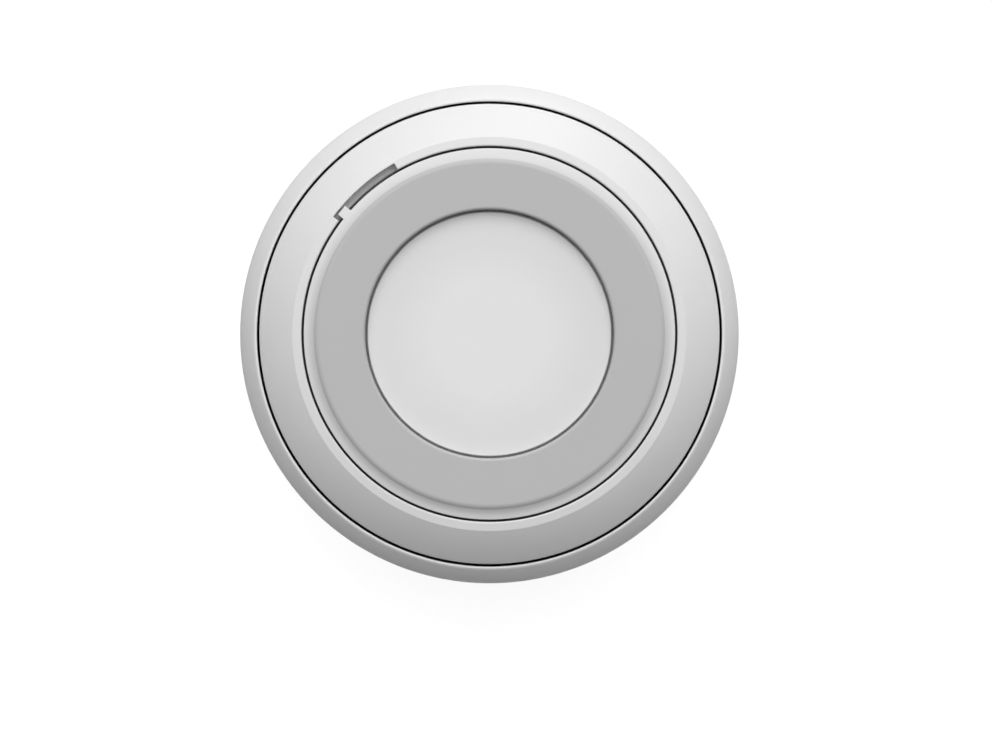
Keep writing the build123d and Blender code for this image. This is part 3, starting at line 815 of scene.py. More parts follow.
def paint(piece: Object, finish: Finish, inside: Callable[[float, float], bool]) -> None:
    """Gives some faces of a round piece another finish.

    Args:
        piece: The piece.
        finish: The other finish.
        inside: Tells from the distance from Z and the height, in millimetres, whether a face gets it.
    """
    index = len(piece.data.materials)
    piece.data.materials.append(finish.material())
    for face in piece.data.polygons:
        if inside(math.hypot(face.center.x, face.center.y) / MM, face.center.z / MM):
            face.material_index = index


@cache
def top_of(node: str) -> float:
    """Height of a CAD node's top in millimetres."""
    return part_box(node)[1].z / MM


@cache
def bottom_of(node: str) -> float:
    """Height of a CAD node's underside in millimetres."""
    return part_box(node)[0].z / MM


@cache
def reach_of(node: str) -> float:
    """How far a round CAD node reaches towards -Y, in millimetres."""
    return -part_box(node)[0].y / MM


class Recipe(Tree):
    """A Geometry Nodes tree with named inputs, used to make plain meshes."""

    def __init__(self, name: str) -> None:
        """Starts an empty tree with one incoming and one outgoing geometry.

        Args:
            name: The tree's name.
        """
        super().__init__(bpy.data.node_groups.new(name, "GeometryNodeTree"))
        for way in ("INPUT", "OUTPUT"):
            self.tree.interface.new_socket("Geometry", in_out=way, socket_type="NodeSocketGeometry")
        self.incoming = self.add("NodeGroupInput")
        self.outgoing = self.add("NodeGroupOutput")
        self.identifiers: dict[str, str] = {}

    def sizes(self, *names: str, kind: str = "Float") -> list[Socket]:
        """Adds named inputs.

        Args:
            names: The inputs' names.
            kind: Float, Int or Material.

        Returns:
            Their sockets inside the tree.
        """
        for name in names:
            item = self.tree.interface.new_socket(name, in_out="INPUT", socket_type="NodeSocket" + kind)
            self.identifiers[name] = item.identifier
        return [self.incoming.outputs[name] for name in names]

    def copies(self, places: Socket, **inputs: object) -> None:
        """Ends the tree in a copy of the incoming geometry at each place.

        Args:
            places: The places, as loose points of a mesh.
            inputs: Other inputs of the Instance on Points node.
        """
        shape = self.incoming.outputs["Geometry"]
        self.end(self.make("GeometryNodeInstanceOnPoints", Points=places, Instance=shape, **inputs))

    def end(self, geometry: Socket) -> None:
        """Ends the tree in real geometry with its material.

        Args:
            geometry: What was made.
        """
        material, = self.sizes("Material", kind="Material")
        real = self.make("GeometryNodeRealizeInstances", Geometry=geometry)
        painted = self.make("GeometryNodeSetMaterial", Geometry=real, Material=material)
        self.fill(self.outgoing, Geometry=painted)

    def mesh(self, name: str, shape: Mesh | None, finish: Finish, lengths: dict[str, float],
             **numbers: float) -> Mesh:
        """Runs the tree once.

        Args:
            name: Name of the result.
            shape: The mesh that goes in, or None.
            finish: The finish of the result.
            lengths: The named inputs that are lengths, in millimetres.
            numbers: The other named inputs.

        Returns:
            A plain mesh.
        """
        helper = linked(name, shape or bpy.data.meshes.new(name))
        modifier = helper.modifiers.new("recipe", "NODES")
        modifier.node_group = self.tree
        modifier[self.identifiers["Material"]] = finish.material()
        for key, length in lengths.items():
            modifier[self.identifiers[key]] = length * MM
        for key, number in numbers.items():
            modifier[self.identifiers[key]] = number
        return joined(name, [finished(helper)])


@cache
def round_recipe() -> Recipe:
    """Tree that repeats a shape evenly round Z.

    Returns:
        The recipe, with inputs Radius, First and Count.
    """
    recipe = Recipe("repeat_round")
    radius, first = recipe.sizes("Radius", "First")
    count, = recipe.sizes("Count", kind="Int")
    row = recipe.make("GeometryNodeMeshLine", Count=count, Offset=(0, 0, 0))
    share = recipe.maths("DIVIDE", recipe.make("GeometryNodeInputIndex"), count)
    turn = recipe.maths("ADD", recipe.maths("MULTIPLY", share, 2 * math.pi), first)
    sides = [recipe.maths(wave, turn) for wave in ("COSINE", "SINE")]
    place = recipe.vector(*(recipe.maths("MULTIPLY", side, radius) for side in sides))
    spots = recipe.make("GeometryNodeSetPosition", Geometry=row, Position=place)
    recipe.copies(spots, Rotation=recipe.make("FunctionNodeEulerToRotation", Euler=recipe.vector(z=turn)))
    return recipe


@cache
def grid_recipe() -> Recipe:
    """Tree that repeats a shape in rows and columns.

    Returns:
        The recipe, with inputs Across, Along, Left, Front, Level, Columns and Rows.
    """
    recipe = Recipe("repeat_grid")
    across, along, left, front, level = recipe.sizes("Across", "Along", "Left", "Front", "Level")
    columns, rows = recipe.sizes("Columns", "Rows", kind="Int")
    count = recipe.maths("MULTIPLY", columns, rows)
    dots = recipe.make("GeometryNodeMeshLine", Count=count, Offset=(0, 0, 0))
    index = recipe.make("GeometryNodeInputIndex")
    column = recipe.maths("MODULO", index, columns)
    row = recipe.maths("FLOOR", recipe.maths("DIVIDE", index, columns))
    place = recipe.vector(recipe.maths("ADD", left, recipe.maths("MULTIPLY", column, across)),
                          recipe.maths("ADD", front, recipe.maths("MULTIPLY", row, along)), level)
    recipe.copies(recipe.make("GeometryNodeSetPosition", Geometry=dots, Position=place))
    return recipe


@cache
def coil_recipe() -> Recipe:
    """Tree that winds round wire into a helix about Z, whose ends lie flat unless it is made even.

    Returns:
        The recipe, with inputs Radius, Wire, Rise, Bottom, Turns, Evenness, Steps and Sides.
    """
    recipe = Recipe("wound_wire")
    radius, wire, rise, bottom = recipe.sizes("Radius", "Wire", "Rise", "Bottom")
    turns, evenness = recipe.sizes("Turns", "Evenness")
    steps, sides = recipe.sizes("Steps", "Sides", kind="Int")
    path = recipe.make("GeometryNodeCurveSpiral", Resolution=steps, Rotations=turns, Start_Radius=radius,
                       End_Radius=radius, Height=0.0)
    along = recipe.make("GeometryNodeSplineParameter")
    eased = recipe.remap(along, {"interpolation_type": "SMOOTHSTEP"})
    even = recipe.maths("MULTIPLY", recipe.maths("SUBTRACT", along, eased), evenness)
    height = recipe.maths("MULTIPLY", recipe.maths("ADD", eased, even), rise)
    climb = recipe.vector(z=recipe.maths("ADD", height, bottom))
    climbing = recipe.make("GeometryNodeSetPosition", Geometry=path, Offset=climb)
    section = recipe.make("GeometryNodeCurvePrimitiveCircle", Resolution=sides, Radius=wire)
    recipe.end(recipe.make("GeometryNodeCurveToMesh", Curve=climbing, Profile_Curve=section, Fill_Caps=True))
    return recipe


@cache
def ring_recipe() -> Recipe:
    """Tree that carries a strip round Z, rounded at its inner upper edge and bent down at its outer one.

    Returns:
        The recipe, with inputs Inner, Outer, Bottom, Top, Rounding, Spacing, Bend and Slope.
    """
    recipe = Recipe("rounded_ring")
    inner, outer, bottom, top = recipe.sizes("Inner", "Outer", "Bottom", "Top")
    rounding, spacing, bend_width, slope = recipe.sizes("Rounding", "Spacing", "Bend", "Slope")
    width = recipe.maths("SUBTRACT", outer, inner)
    middle = recipe.maths("MULTIPLY", recipe.maths("ADD", inner, outer), 0.5)
    level = recipe.maths("MULTIPLY", recipe.maths("ADD", bottom, top), 0.5)
    strip = recipe.make("GeometryNodeCurvePrimitiveQuadrilateral", Width=width,
                        Height=recipe.maths("SUBTRACT", top, bottom))
    place = recipe.add("ShaderNodeSeparateXYZ", Vector=recipe.make("GeometryNodeInputPosition")).outputs
    above = recipe.maths("LESS_THAN", place["Y"], 0.0)
    inside = recipe.maths("LESS_THAN", place["X"], 0.0)
    soft = recipe.make("GeometryNodeFilletCurve", {"mode": "POLY"}, Curve=strip, Count=12,
                       Radius=recipe.maths("MULTIPLY", recipe.maths("MULTIPLY", above, inside), rounding))
    even = recipe.make("GeometryNodeResampleCurve", {"mode": "LENGTH"}, Curve=soft, Length=spacing)
    bend_start = recipe.maths("SUBTRACT", recipe.maths("MULTIPLY", width, 0.5), bend_width)
    past = recipe.maths("MAXIMUM", recipe.maths("SUBTRACT", place["X"], bend_start), 0.0)
    bend = recipe.maths("DIVIDE", bend_width, recipe.maths("SINE", slope))
    squares = [recipe.maths("POWER", length, 2.0) for length in (bend, past)]
    left = recipe.maths("SQRT", recipe.maths("SUBTRACT", *squares))
    fall = recipe.maths("MULTIPLY", recipe.maths("SUBTRACT", bend, left), above)
    bent = recipe.make("GeometryNodeSetPosition", Geometry=even, Offset=recipe.vector(y=fall))
    path = recipe.make("GeometryNodeCurvePrimitiveCircle", Resolution=ROUND_STEPS, Radius=middle)
    ring = recipe.make("GeometryNodeCurveToMesh", Curve=path, Profile_Curve=bent)
    recipe.end(recipe.make("GeometryNodeTransform", Geometry=ring, Translation=recipe.vector(z=level)))
    return recipe


def repeated(shape: Mesh, finish: Finish, ring: Ring) -> Mesh:
    """One mesh with a copy of a shape, made about Z, at each place of a ring."""
    return round_recipe().mesh(shape.name, shape, finish, {"Radius": ring.radius}, Count=ring.count,
                               First=math.radians(ring.first))


def wound(name: str, radius: float, wire: float, low: float, high: float, turns: float) -> Mesh:
    """Compression spring about Z, with closed ends, between two heights."""
    sizes = {"Radius": radius, "Wire": wire / 2, "Rise": high - low - wire, "Bottom": low + wire / 2}
    return coil_recipe().mesh(name, None, SPRING_STEEL, sizes, Turns=turns, Steps=64, Sides=14, Evenness=0.0)


def refined(node: str, soften: float = 0.0) -> Mesh:
    """Merged and smoothly shaded copy of a CAD node's mesh, with straight normals on its flat faces.

    Args:
        node: The CAD node.
        soften: Width of the chamfer along its crisp edges in millimetres, or 0 for none.

    Returns:
        The new mesh, in the shared frame.
    """
    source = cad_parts[node]
    shape = bmesh.new()
    shape.from_mesh(source.data)
    shape.transform(source.matrix_world)
    bmesh.ops.remove_doubles(shape, verts=shape.verts, dist=SAME_CAD_PLACE * MM)
    if soften:
        bmesh.ops.dissolve_limit(shape, angle_limit=math.radians(FLAT_ANGLE), verts=shape.verts,
                                 edges=shape.edges)
        crisp = [edge for edge in shape.edges
                 if len(edge.link_faces) == 2 and edge.calc_face_angle() > math.radians(SHARP_ANGLE)]
        bmesh.ops.bevel(shape, geom=crisp, offset=soften * MM, offset_type="OFFSET", segments=3, profile=0.5,
                        affect="EDGES", clamp_overlap=True)
    helper = linked(node, tidied(shape, node))
    weighing = helper.modifiers.new("even", "WEIGHTED_NORMAL")
    weighing.keep_sharp, weighing.weight = True, 100
    return finished(helper)


def from_cad(finish: Finish, body: Body, soften: float, *nodes: str) -> None:
    """Shows refined copies of CAD nodes, with a chamfer of a width in millimetres along their crisp edges."""
    for node in nodes:
        show(node + "_piece", refined(node, soften), finish, body, node)


@dataclass
class ScrewSet:
    """Slotted screws in a ring, with their heads down."""

    node: str
    ring: Ring
    body: Body
    shank: float = 0.6
    head: float = 1.05
    head_height: float = 0.7
    head_rounding_share: float = 0.3
    neck_share: float = 0.05
    slot_share: float = 0.35
    pitch_share: float = 0.62
    ridge_share: float = 0.14
    steps: int = 32

    def screw(self) -> Mesh:
        """One screw about Z, with rounded head, slot, thread and tapered end.

        Returns:
            The mesh.
        """
        low, high = bottom_of(self.node), top_of(self.node)
        ridge = self.shank * self.ridge_share
        core = self.shank - ridge
        under_head = low + self.head_height
        start, end = under_head + self.shank + ridge, high - self.shank / 2
        neck = self.head * self.neck_share
        solid = turned("screw", [
            Corner(0, low),
            Corner(self.head, low, self.head * self.head_rounding_share),
            Corner(self.head, under_head, neck),
            Corner(self.shank, under_head, neck),
            Corner(self.shank, under_head + self.shank, ridge / 2),
            Corner(core, start, ridge / 2),
            Corner(core, end, ridge),
            Corner(core / 2, high, ridge),
            Corner(0, high),
        ], self.steps)
        past, half_slot, deep = 2 * self.head, self.head * self.slot_share / 2, low + self.head_height / 2
        slot = box_mesh("slot", (-past, -half_slot, low - past), (past, half_slot, deep))
        sizes = {"Radius": core, "Wire": ridge, "Rise": end - start, "Bottom": start}
        thread = coil_recipe().mesh("thread", None, SCREW_STEEL, sizes, Steps=20, Sides=5, Evenness=1.0,
                                    Turns=(end - start) / (self.shank * self.pitch_share))
        return joined(self.node, [drilled(solid, [slot]), thread])

    def build(self) -> None:
        """Builds the set."""
        mesh = repeated(self.screw(), SCREW_STEEL, self.ring)
        show(self.node + "_set", mesh, SCREW_STEEL, self.body, self.node)


@dataclass
class Dome:
    """The bezel's dome, which the base's lip follows."""

    flange_width: float = 0.97
    lip_width: float = 0.83
    bore_gap: float = 0.21
    lip_fall: float = 0.10
    start_slope: float = 31.0
    end_slope: float = 42.5
    steps: int = 16
    edge_width: float = 0.06
    edge_steps: int = 5
    rim_drop: float = 0.5

    @property
    def collar_reach(self) -> float:
        """Radius of the collar's flange."""
        return reach_of("grip_ring") + self.flange_width

    @property
    def bore(self) -> float:
        """Radius of the opening for the collar."""
        return self.collar_reach + self.bore_gap

    @property
    def lip_edge(self) -> float:
        """Radius at which the lip ends and the dome starts."""
        return self.bore + self.lip_width

    @property
    def outside(self) -> float:
        """Radius of the skirt."""
        return reach_of("front_bezel")

    @property
    def rim_top(self) -> float:
        """Height of the lip at the opening."""
        return top_of("grip_ring") - self.rim_drop

    def lip_height(self, out: float) -> float:
        """Height of the lip's surface at a radius."""
        return self.rim_top - self.lip_fall * (out - self.bore) / self.lip_width

    def arc(self) -> list[Corner]:
        """The dome from its start down to where it rounds into the skirt.

        Returns:
            Corners along it.
        """
        start = (self.lip_edge, self.rim_top - self.lip_fall)
        return slope_arc(start, self.start_slope, self.outside - self.edge_width, self.end_slope, self.steps)

    def edge(self) -> list[Corner]:
        """The rounding from the dome into the skirt, down to its upright end.

        Returns:
            Corners along it.
        """
        start = self.arc()[-1]
        return slope_arc((start.out, start.up), self.end_slope, self.outside, 90.0, self.edge_steps)


@dataclass
class Base:
    """The part that stays on the wall or desk: shell, foam pad and magnets."""

    dome: Dome
    gap: float = 0.23
    lip_slope: float = 32.0
    lip_width: float = 0.325
    lip_rounding: float = 0.14
    shoulder_width: float = 1.04
    shoulder_slopes: Point = (45.0, 56.0)
    shoulder_steps: int = 8
    foot_inset: float = 0.6
    foot_height: float = 1.3
    foot_rounding: float = 0.7
    rim_lift: float = 0.4
    floor: float = 2.8
    pad_gap: float = 0.2
    screw_place: float = 10.0
    screw_bore: float = 1.75
    screw_head: float = 2.9
    broken_edge: float = 0.1
    cutter_margin: float = 0.3
    cutter_flare: float = 0.35
    pad_hole: float = 3.4
    punch_margin: float = 0.5
    punch_steps: int = 96
    magnet_radius: float = 2.5
    magnet_height: float = 1.8
    magnet_rounding: float = 0.18
    magnet_room: float = 0.05

    @property
    def screw_places(self) -> list[Matrix]:
        """A move to each screw hole."""
        return [moved(side * self.screw_place, 0) for side in (-1, 1)]

    def shell_corners(self) -> list[Corner]:
        """Outline of the cup from the middle of its underside, round the outside, to the middle of its floor.

        Returns:
            The corners.
        """
        bore, outside = self.dome.outside + self.gap, reach_of("base_shell")
        lip_top = self.dome.arc()[-1].up - self.gap * math.tan(math.radians(self.dome.end_slope))
        lip_end = (bore + self.lip_width, lip_top - self.lip_width * math.tan(math.radians(self.lip_slope)))
        first, last = self.shoulder_slopes
        shoulder = slope_arc(lip_end, first, lip_end[0] + self.shoulder_width, last, self.shoulder_steps)
        start = (shoulder[-1].out, shoulder[-1].up)
        corner = slope_arc(start, last, outside, 90.0, self.dome.edge_steps)
        foot = outside - self.foot_inset
        pad_edge, pad_top = reach_of("adhesive_pad") + self.pad_gap, top_of("adhesive_pad")
        under = [
            Corner(0, pad_top),
            Corner(pad_edge, pad_top, Edge.CRISP),
            Corner(pad_edge, self.rim_lift, Edge.SOFT),
            Corner(foot - self.foot_rounding, self.rim_lift, self.foot_rounding / 3),
            Corner(foot, self.foot_height, self.foot_rounding / 3),
        ]
        inside = [
            Corner(*lip_end, Edge.CRISP),
            Corner(bore, lip_top, self.lip_rounding),
            Corner(bore, self.floor, self.foot_rounding),
            Corner(0, self.floor),
        ]
        return under + corner[::-1] + shoulder[:-1][::-1] + inside

    def screw_cutters(self) -> list[Mesh]:
        """Shapes that cut the two countersunk holes, each with a slightly broken lower edge.

        Returns:
            The cutters.
        """
        pad_top = top_of("adhesive_pad")
        low, high = pad_top - self.cutter_margin, self.floor + self.cutter_margin
        return copies(turned("screw_hole", [
            Corner(0, low),
            Corner(self.screw_bore + self.cutter_flare, low),
            Corner(self.screw_bore, pad_top + self.broken_edge, Edge.FINE),
            Corner(self.screw_bore, self.floor - (self.screw_head - self.screw_bore), Edge.PLAIN),
            Corner(self.screw_head, self.floor, Edge.CRISP),
            Corner(self.screw_head + self.cutter_flare, high),
            Corner(0, high),
        ], HOLE_STEPS), self.screw_places)

    def pocket_cutters(self) -> list[Mesh]:
        """Shapes that cut the magnet pockets.

        Returns:
            The cutters.
        """
        bottom = top_of("base_magnets") - self.magnet_height
        pocket = plug_corners(self.magnet_radius + self.magnet_room, bottom, self.floor, Edge.SOFT)
        low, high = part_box("tamper_magnet")
        radius, middle = (high.x - low.x) / 2 / MM + self.magnet_room, (high.x + low.x) / 2 / MM
        small = plug_corners(radius, bottom_of("tamper_magnet"), self.floor, Edge.PLAIN)
        return (copies(turned("pocket", pocket, HOLE_STEPS), MAGNETS.places)
                + copies(turned("small_pocket", small, HOLE_STEPS), [moved(middle, 0)]))

    def build(self) -> None:
        """Builds and dresses the cup, the foam pad with its punched holes, and the magnets."""
        solid = turned("base_cup", self.shell_corners())
        cup = drilled(solid, self.screw_cutters() + self.pocket_cutters())
        show("base_cup", cup, WHITE, Body.BASE, "base_shell")
        reach, top, margin = reach_of("adhesive_pad"), top_of("adhesive_pad"), self.punch_margin
        pad = turned("foam_pad", disc_corners(reach, 0, top, Edge.THIN))
        punch = turned("punch", disc_corners(self.pad_hole, -margin, top + margin, 0), self.punch_steps)
        show("foam_pad", drilled(pad, copies(punch, self.screw_places)), FOAM, Body.BASE, "adhesive_pad")
        top = top_of("base_magnets")
        magnet = disc_corners(self.magnet_radius, top - self.magnet_height, top, self.magnet_rounding)
        magnets = repeated(turned("magnet", magnet, HOLE_STEPS), NICKEL, MAGNETS)
        show("holding_magnets", magnets, NICKEL, Body.BASE, "base_magnets")
        from_cad(NICKEL, Body.BASE, Edge.SOFT, "tamper_magnet")


@dataclass
class Bezel:
    """The domed shell of the front unit, with the arc slot in its lip."""

    dome: Dome
    slot_start: float = 119.2
    slot_end: float = 143.15
    slot_width: float = 0.66
    slot_depth: float = 1.15
    slot_corner: float = 0.06
    skirt_bottom: float = 3.6
    skirt_inside: float = 19.80
    seal_level: float = 8.0
    groove_half: float = 0.6
    groove_floor: float = 20.31
    ledge_inside: float = 15.8
    ledge_heights: Point = (17.2, 18.15)
    boss_radius: float = 1.2
    boss_heights: Point = (14.2, 17.3)
    boss_steps: int = 48
    pilot_radius: float = 0.65
    pilot_top: float = 16.5
    slope_foot: float = 16.37
    bore_rounding: float = 0.15
    bore_line: float = 0.05
    lip_lines: Point = (0.04, 0.18)
    lip_margin: float = 0.05
    step: RoundedStep = RoundedStep(0.07, 0.03, 0.05)

    @property
    def slot(self) -> Arc:
        """Where the slot runs."""
        return Arc(self.slot_start, self.slot_end, self.dome.bore + self.slot_width / 2)

    def surface(self, out: float, angle: float, fall: float = 0.0) -> Point:
        """A point of the lip, sunk where the slot is.

        Args:
            out: Distance from the axis.
            angle: Angle in degrees.
            fall: How far the point lies below the surface.

        Returns:
            The distance from the axis and the height.
        """
        from_ends, from_wall = self.slot.into(angle), self.dome.bore + self.slot_width - out
        across, along = self.slot_corner - from_wall, self.slot_corner - from_ends
        inside = min(from_wall, from_ends)
        if across > 0 and along > 0:
            inside = self.slot_corner - math.hypot(across, along)
        height = self.dome.lip_height(out)
        sunk = self.step.value(inside, height - (self.dome.rim_top - self.slot_depth))
        return (out, height - sunk - fall)

    def column(self, angle: float) -> list[Point]:
        """Closed outline of the bezel at one angle.

        Args:
            angle: Angle in degrees.

        Returns:
            Points from the ledge, over the lip and dome, down the skirt and back inside.
        """
        dome, rounding = self.dome, self.bore_rounding
        edge = [self.surface(dome.bore + rounding * (1 - math.cos(turn)), angle,
                             rounding * (1 - math.sin(turn))) for turn in QUARTER_TURN]
        edge.insert(0, (dome.bore, edge[0][1] - self.bore_line))
        wall = dome.bore + self.slot_width
        lines = [dome.bore + rounding + line for line in self.lip_lines]
        lines += [wall - distance for distance in reversed(self.step.lines())]
        lip = [self.surface(out, angle) for out in lines]
        arc, skirt = dome.arc(), dome.edge()
        lip_end = Vector((dome.lip_edge, dome.rim_top - dome.lip_fall))
        crest = corner_arc(Vector(lip[-1]), lip_end, arc[0].place, Edge.PLAIN)
        level, half = self.seal_level, self.groove_half
        below = outline([
            Corner(dome.outside, skirt[-1].up),
            Corner(dome.outside, level + half, Edge.FINE),
            Corner(self.groove_floor, level + half, Edge.PLAIN),
            Corner(self.groove_floor, level - half, Edge.PLAIN),
            Corner(dome.outside, level - half, Edge.FINE),
            Corner(dome.outside, self.skirt_bottom, Edge.FULL),
            Corner(self.skirt_inside, self.skirt_bottom, Edge.SOFT),
            Corner(self.skirt_inside, self.slope_foot, Edge.EASED),
            Corner(dome.lip_edge, self.ledge_heights[0], Edge.EASED),
            Corner(self.ledge_inside, self.ledge_heights[0], Edge.PLAIN),
            Corner(self.ledge_inside, self.ledge_heights[1], Edge.SOFT),
            Corner(dome.bore, self.ledge_heights[1]),
        ])
        return below + edge + lip + crest + [(corner.out, corner.up) for corner in arc + skirt[:-1]]

    def bosses(self) -> None:
        """Builds the bosses that take the chassis screws."""
        low, high = self.boss_heights
        boss = turned("boss", [
            Corner(0, self.pilot_top),
            Corner(self.pilot_radius, self.pilot_top),
            Corner(self.pilot_radius, low, Edge.CRISP),
            Corner(self.boss_radius, low, Edge.FINE),
            Corner(self.boss_radius, high),
            Corner(0, high),
        ], self.boss_steps)
        show("bezel_bosses", repeated(boss, WHITE, BOSSES), WHITE, Body.UNIT, "front_bezel")

    def build(self) -> None:
        """Builds the bezel with its screw bosses, gives its lip the slightly darker rim finish, and paints
        shade on its ledge and the slot's floor.
        """
        self.bosses()
        shell = turned_mesh("bezel", self.column, self.slot.columns(self.step))
        piece = show("bezel", shell, WHITE, Body.UNIT, "front_bezel")
        bore, lip_edge = self.dome.bore, self.dome.lip_edge
        inside, ledge = self.ledge_inside, self.ledge_heights[1]
        lowest = self.dome.lip_height(lip_edge) - self.lip_margin
        slot_floor, near = self.dome.rim_top - self.slot_depth, self.step.end_rounding + SAME_LEVEL
        # The lip takes the rim finish, a little darker than WHITE and beyond the end radius of its painted
        # shade.
        paint(piece, RIM_WHITE_PAINTED_SHADE, lambda out, up: bore - SAME_LEVEL < out < lip_edge and up > lowest)
        # Painted shade on the ledge at the foot of the gap, and on the slot's floor.
        paint(piece, GAP_PAINTED_SHADE, lambda out, up: inside < out < bore and abs(up - ledge) < SAME_LEVEL)
        paint(piece, SLOT_FLOOR_PAINTED_SHADE, lambda out, up: bore < out < lip_edge and abs(up - slot_floor) < near)


@dataclass
class Collar:
    """The turning flange with its index tab, and the grey ring bonded into it."""

    dome: Dome
    tab_start: float = 138.35
    tab_end: float = 141.8
    tab_reach: float = 0.67
    tab_thickness: float = 0.60
    root_rise: float = 0.32
    root_slope: float = 32.0
    edge_slope: float = 10.0
    hollow_steps: int = 10
    flat_width: float = 0.2
    rim_rounding: float = 0.07
    rebate_floor: float = 19.1
    bond_gap: float = 0.02
    underside: float = 18.2
    side_line: float = 0.2
    boss_out: float = 15.65
    boss_in: float = 12.25
    boss_bottom: float = 17.1
    bore: float = 11.46
    inner_rounding: float = 0.27
    grip_edge_width: float = 0.47
    grip_edge_slope: float = 42.0
    line_spacing: float = 0.05
    step: RoundedStep = RoundedStep(0.05, 0.02, 0.07)

    @property
    def tab(self) -> Arc:
        """Where the tab stands."""
        return Arc(self.tab_start, self.tab_end, self.dome.collar_reach + self.tab_reach / 2)

    def column(self, angle: float) -> list[Point]:
        """Closed outline of the flange at one angle.

        Args:
            angle: Angle in degrees.

        Returns:
            Points from the bore, over the hollow that climbs against the grey ring, down the outside and
            back under.
        """
        sides, reach, rounding = self.tab.into(angle), self.dome.collar_reach, self.rim_rounding
        start = (reach_of("grip_ring"), self.dome.rim_top + self.root_rise)
        hollow = slope_arc(start, self.root_slope, reach - self.flat_width, self.edge_slope,
                           self.hollow_steps)
        rim = outline([
            Corner(self.boss_in, self.underside),
            Corner(self.bore, self.underside, Edge.FINE),
            Corner(self.bore, self.rebate_floor, Edge.CRISP),
            Corner(start[0], self.rebate_floor, Edge.HAIR),
            Corner(*start),
            *hollow,
        ])
        edge = reach + self.step.value(sides, self.tab_reach)
        edge_top = hollow[-1].up - self.flat_width * math.tan(math.radians(self.edge_slope))
        corner = [(edge - rounding * (1 - math.sin(turn)), edge_top - rounding * (1 - math.cos(turn)))
                  for turn in QUARTER_TURN]
        tab_bottom = edge_top - self.tab_thickness
        heights = [tab_bottom + line for line in reversed(self.step.lines())]
        wall = [(reach + self.step.value(min(sides, height - tab_bottom), self.tab_reach), height)
                for height in heights]
        under = outline([
            Corner(reach, self.underside + self.side_line),
            Corner(reach, self.underside, Edge.FINE),
            Corner(self.boss_out, self.underside, Edge.FINE),
            Corner(self.boss_out, self.boss_bottom, Edge.PLAIN),
            Corner(self.boss_in, self.boss_bottom, Edge.PLAIN),
        ])
        return rim + corner + wall + under

    def build(self) -> None:
        """Builds the flange and the grey ring, with what turns with them."""
        flange = turned_mesh("collar_flange", self.column, self.tab.columns(self.step))
        # The flange's colour carries painted shade, darker next to the grey ring.
        show("collar_flange", flange, RIM_WHITE_PAINTED_SHADE, Body.COLLAR, "collar")
        sizes = {"Inner": self.bore, "Outer": reach_of("grip_ring") + self.bond_gap,
                 "Bottom": bottom_of("grip_ring"), "Top": top_of("grip_ring"), "Spacing": self.line_spacing,
                 "Rounding": self.inner_rounding, "Bend": self.grip_edge_width}
        slope = math.radians(self.grip_edge_slope)
        grip = ring_recipe().mesh("grey_ring", None, GREY_GRIP, sizes, Slope=slope)
        show("grey_ring", grip, GREY_GRIP, Body.COLLAR, "grip_ring")
        from_cad(SLIDER, Body.COLLAR, 0.0, "cam_ring")
        ScrewSet("cam_screws", CAM_SCREWS, Body.COLLAR, shank=0.4, head=0.8, head_height=0.45).build()


@dataclass
class Button:
    """The pressed disc with its skirt, spring rib and stem."""

    reach: float = 11.24
    top: float = 18.9
    bottom: float = 17.7
    flange_reach: float = 12.1
    flange_heights: Point = (17.45, 18.15)
    groove: float = 10.3
    catch: float = 11.2
    catch_heights: Point = (15.75, 16.55)
    skirt_inside: float = 9.4
    rib: Point = (7.45, 8.05)
    rib_bottom: float = 16.9
    stem: float = 2.0
    stem_bottom: float = 16.325
    edge: float = 0.09

    def build(self) -> None:
        """Builds the cap."""
        flange_low, seat = self.flange_heights
        catch_low, catch_high = self.catch_heights
        cap = turned("cap", [
            Corner(0, self.top),
            Corner(self.reach, self.top, self.edge),
            Corner(self.reach, seat, Edge.PLAIN),
            Corner(self.flange_reach, seat, Edge.PLAIN),
            Corner(self.flange_reach, flange_low, Edge.PLAIN),
            Corner(self.groove, flange_low, Edge.FINE),
            Corner(self.groove, catch_high, Edge.FINE),
            Corner(self.catch, catch_high, Edge.THIN),
            Corner(self.catch, catch_low, self.edge),
            Corner(self.skirt_inside, catch_low, Edge.PLAIN),
            Corner(self.skirt_inside, self.bottom, Edge.ROUND),
            Corner(self.rib[1], self.bottom, Edge.FINE),
            Corner(self.rib[1], self.rib_bottom, Edge.FINE),
            Corner(self.rib[0], self.rib_bottom, Edge.FINE),
            Corner(self.rib[0], self.bottom, Edge.FINE),
            Corner(self.stem, self.bottom, Edge.FULL),
            Corner(self.stem, self.stem_bottom, Edge.ROUND),
            Corner(0, self.stem_bottom),
        ])
        # Painted shade: the top darkens towards its edge, and the seat at the foot of the gap is dark grey.
        piece = show("cap", cap, CAP_WHITE_PAINTED_SHADE, Body.BUTTON, "button_cap")
        paint(piece, CAP_GAP_PAINTED_SHADE, lambda out, up: out > self.reach and abs(up - seat) < SAME_LEVEL)


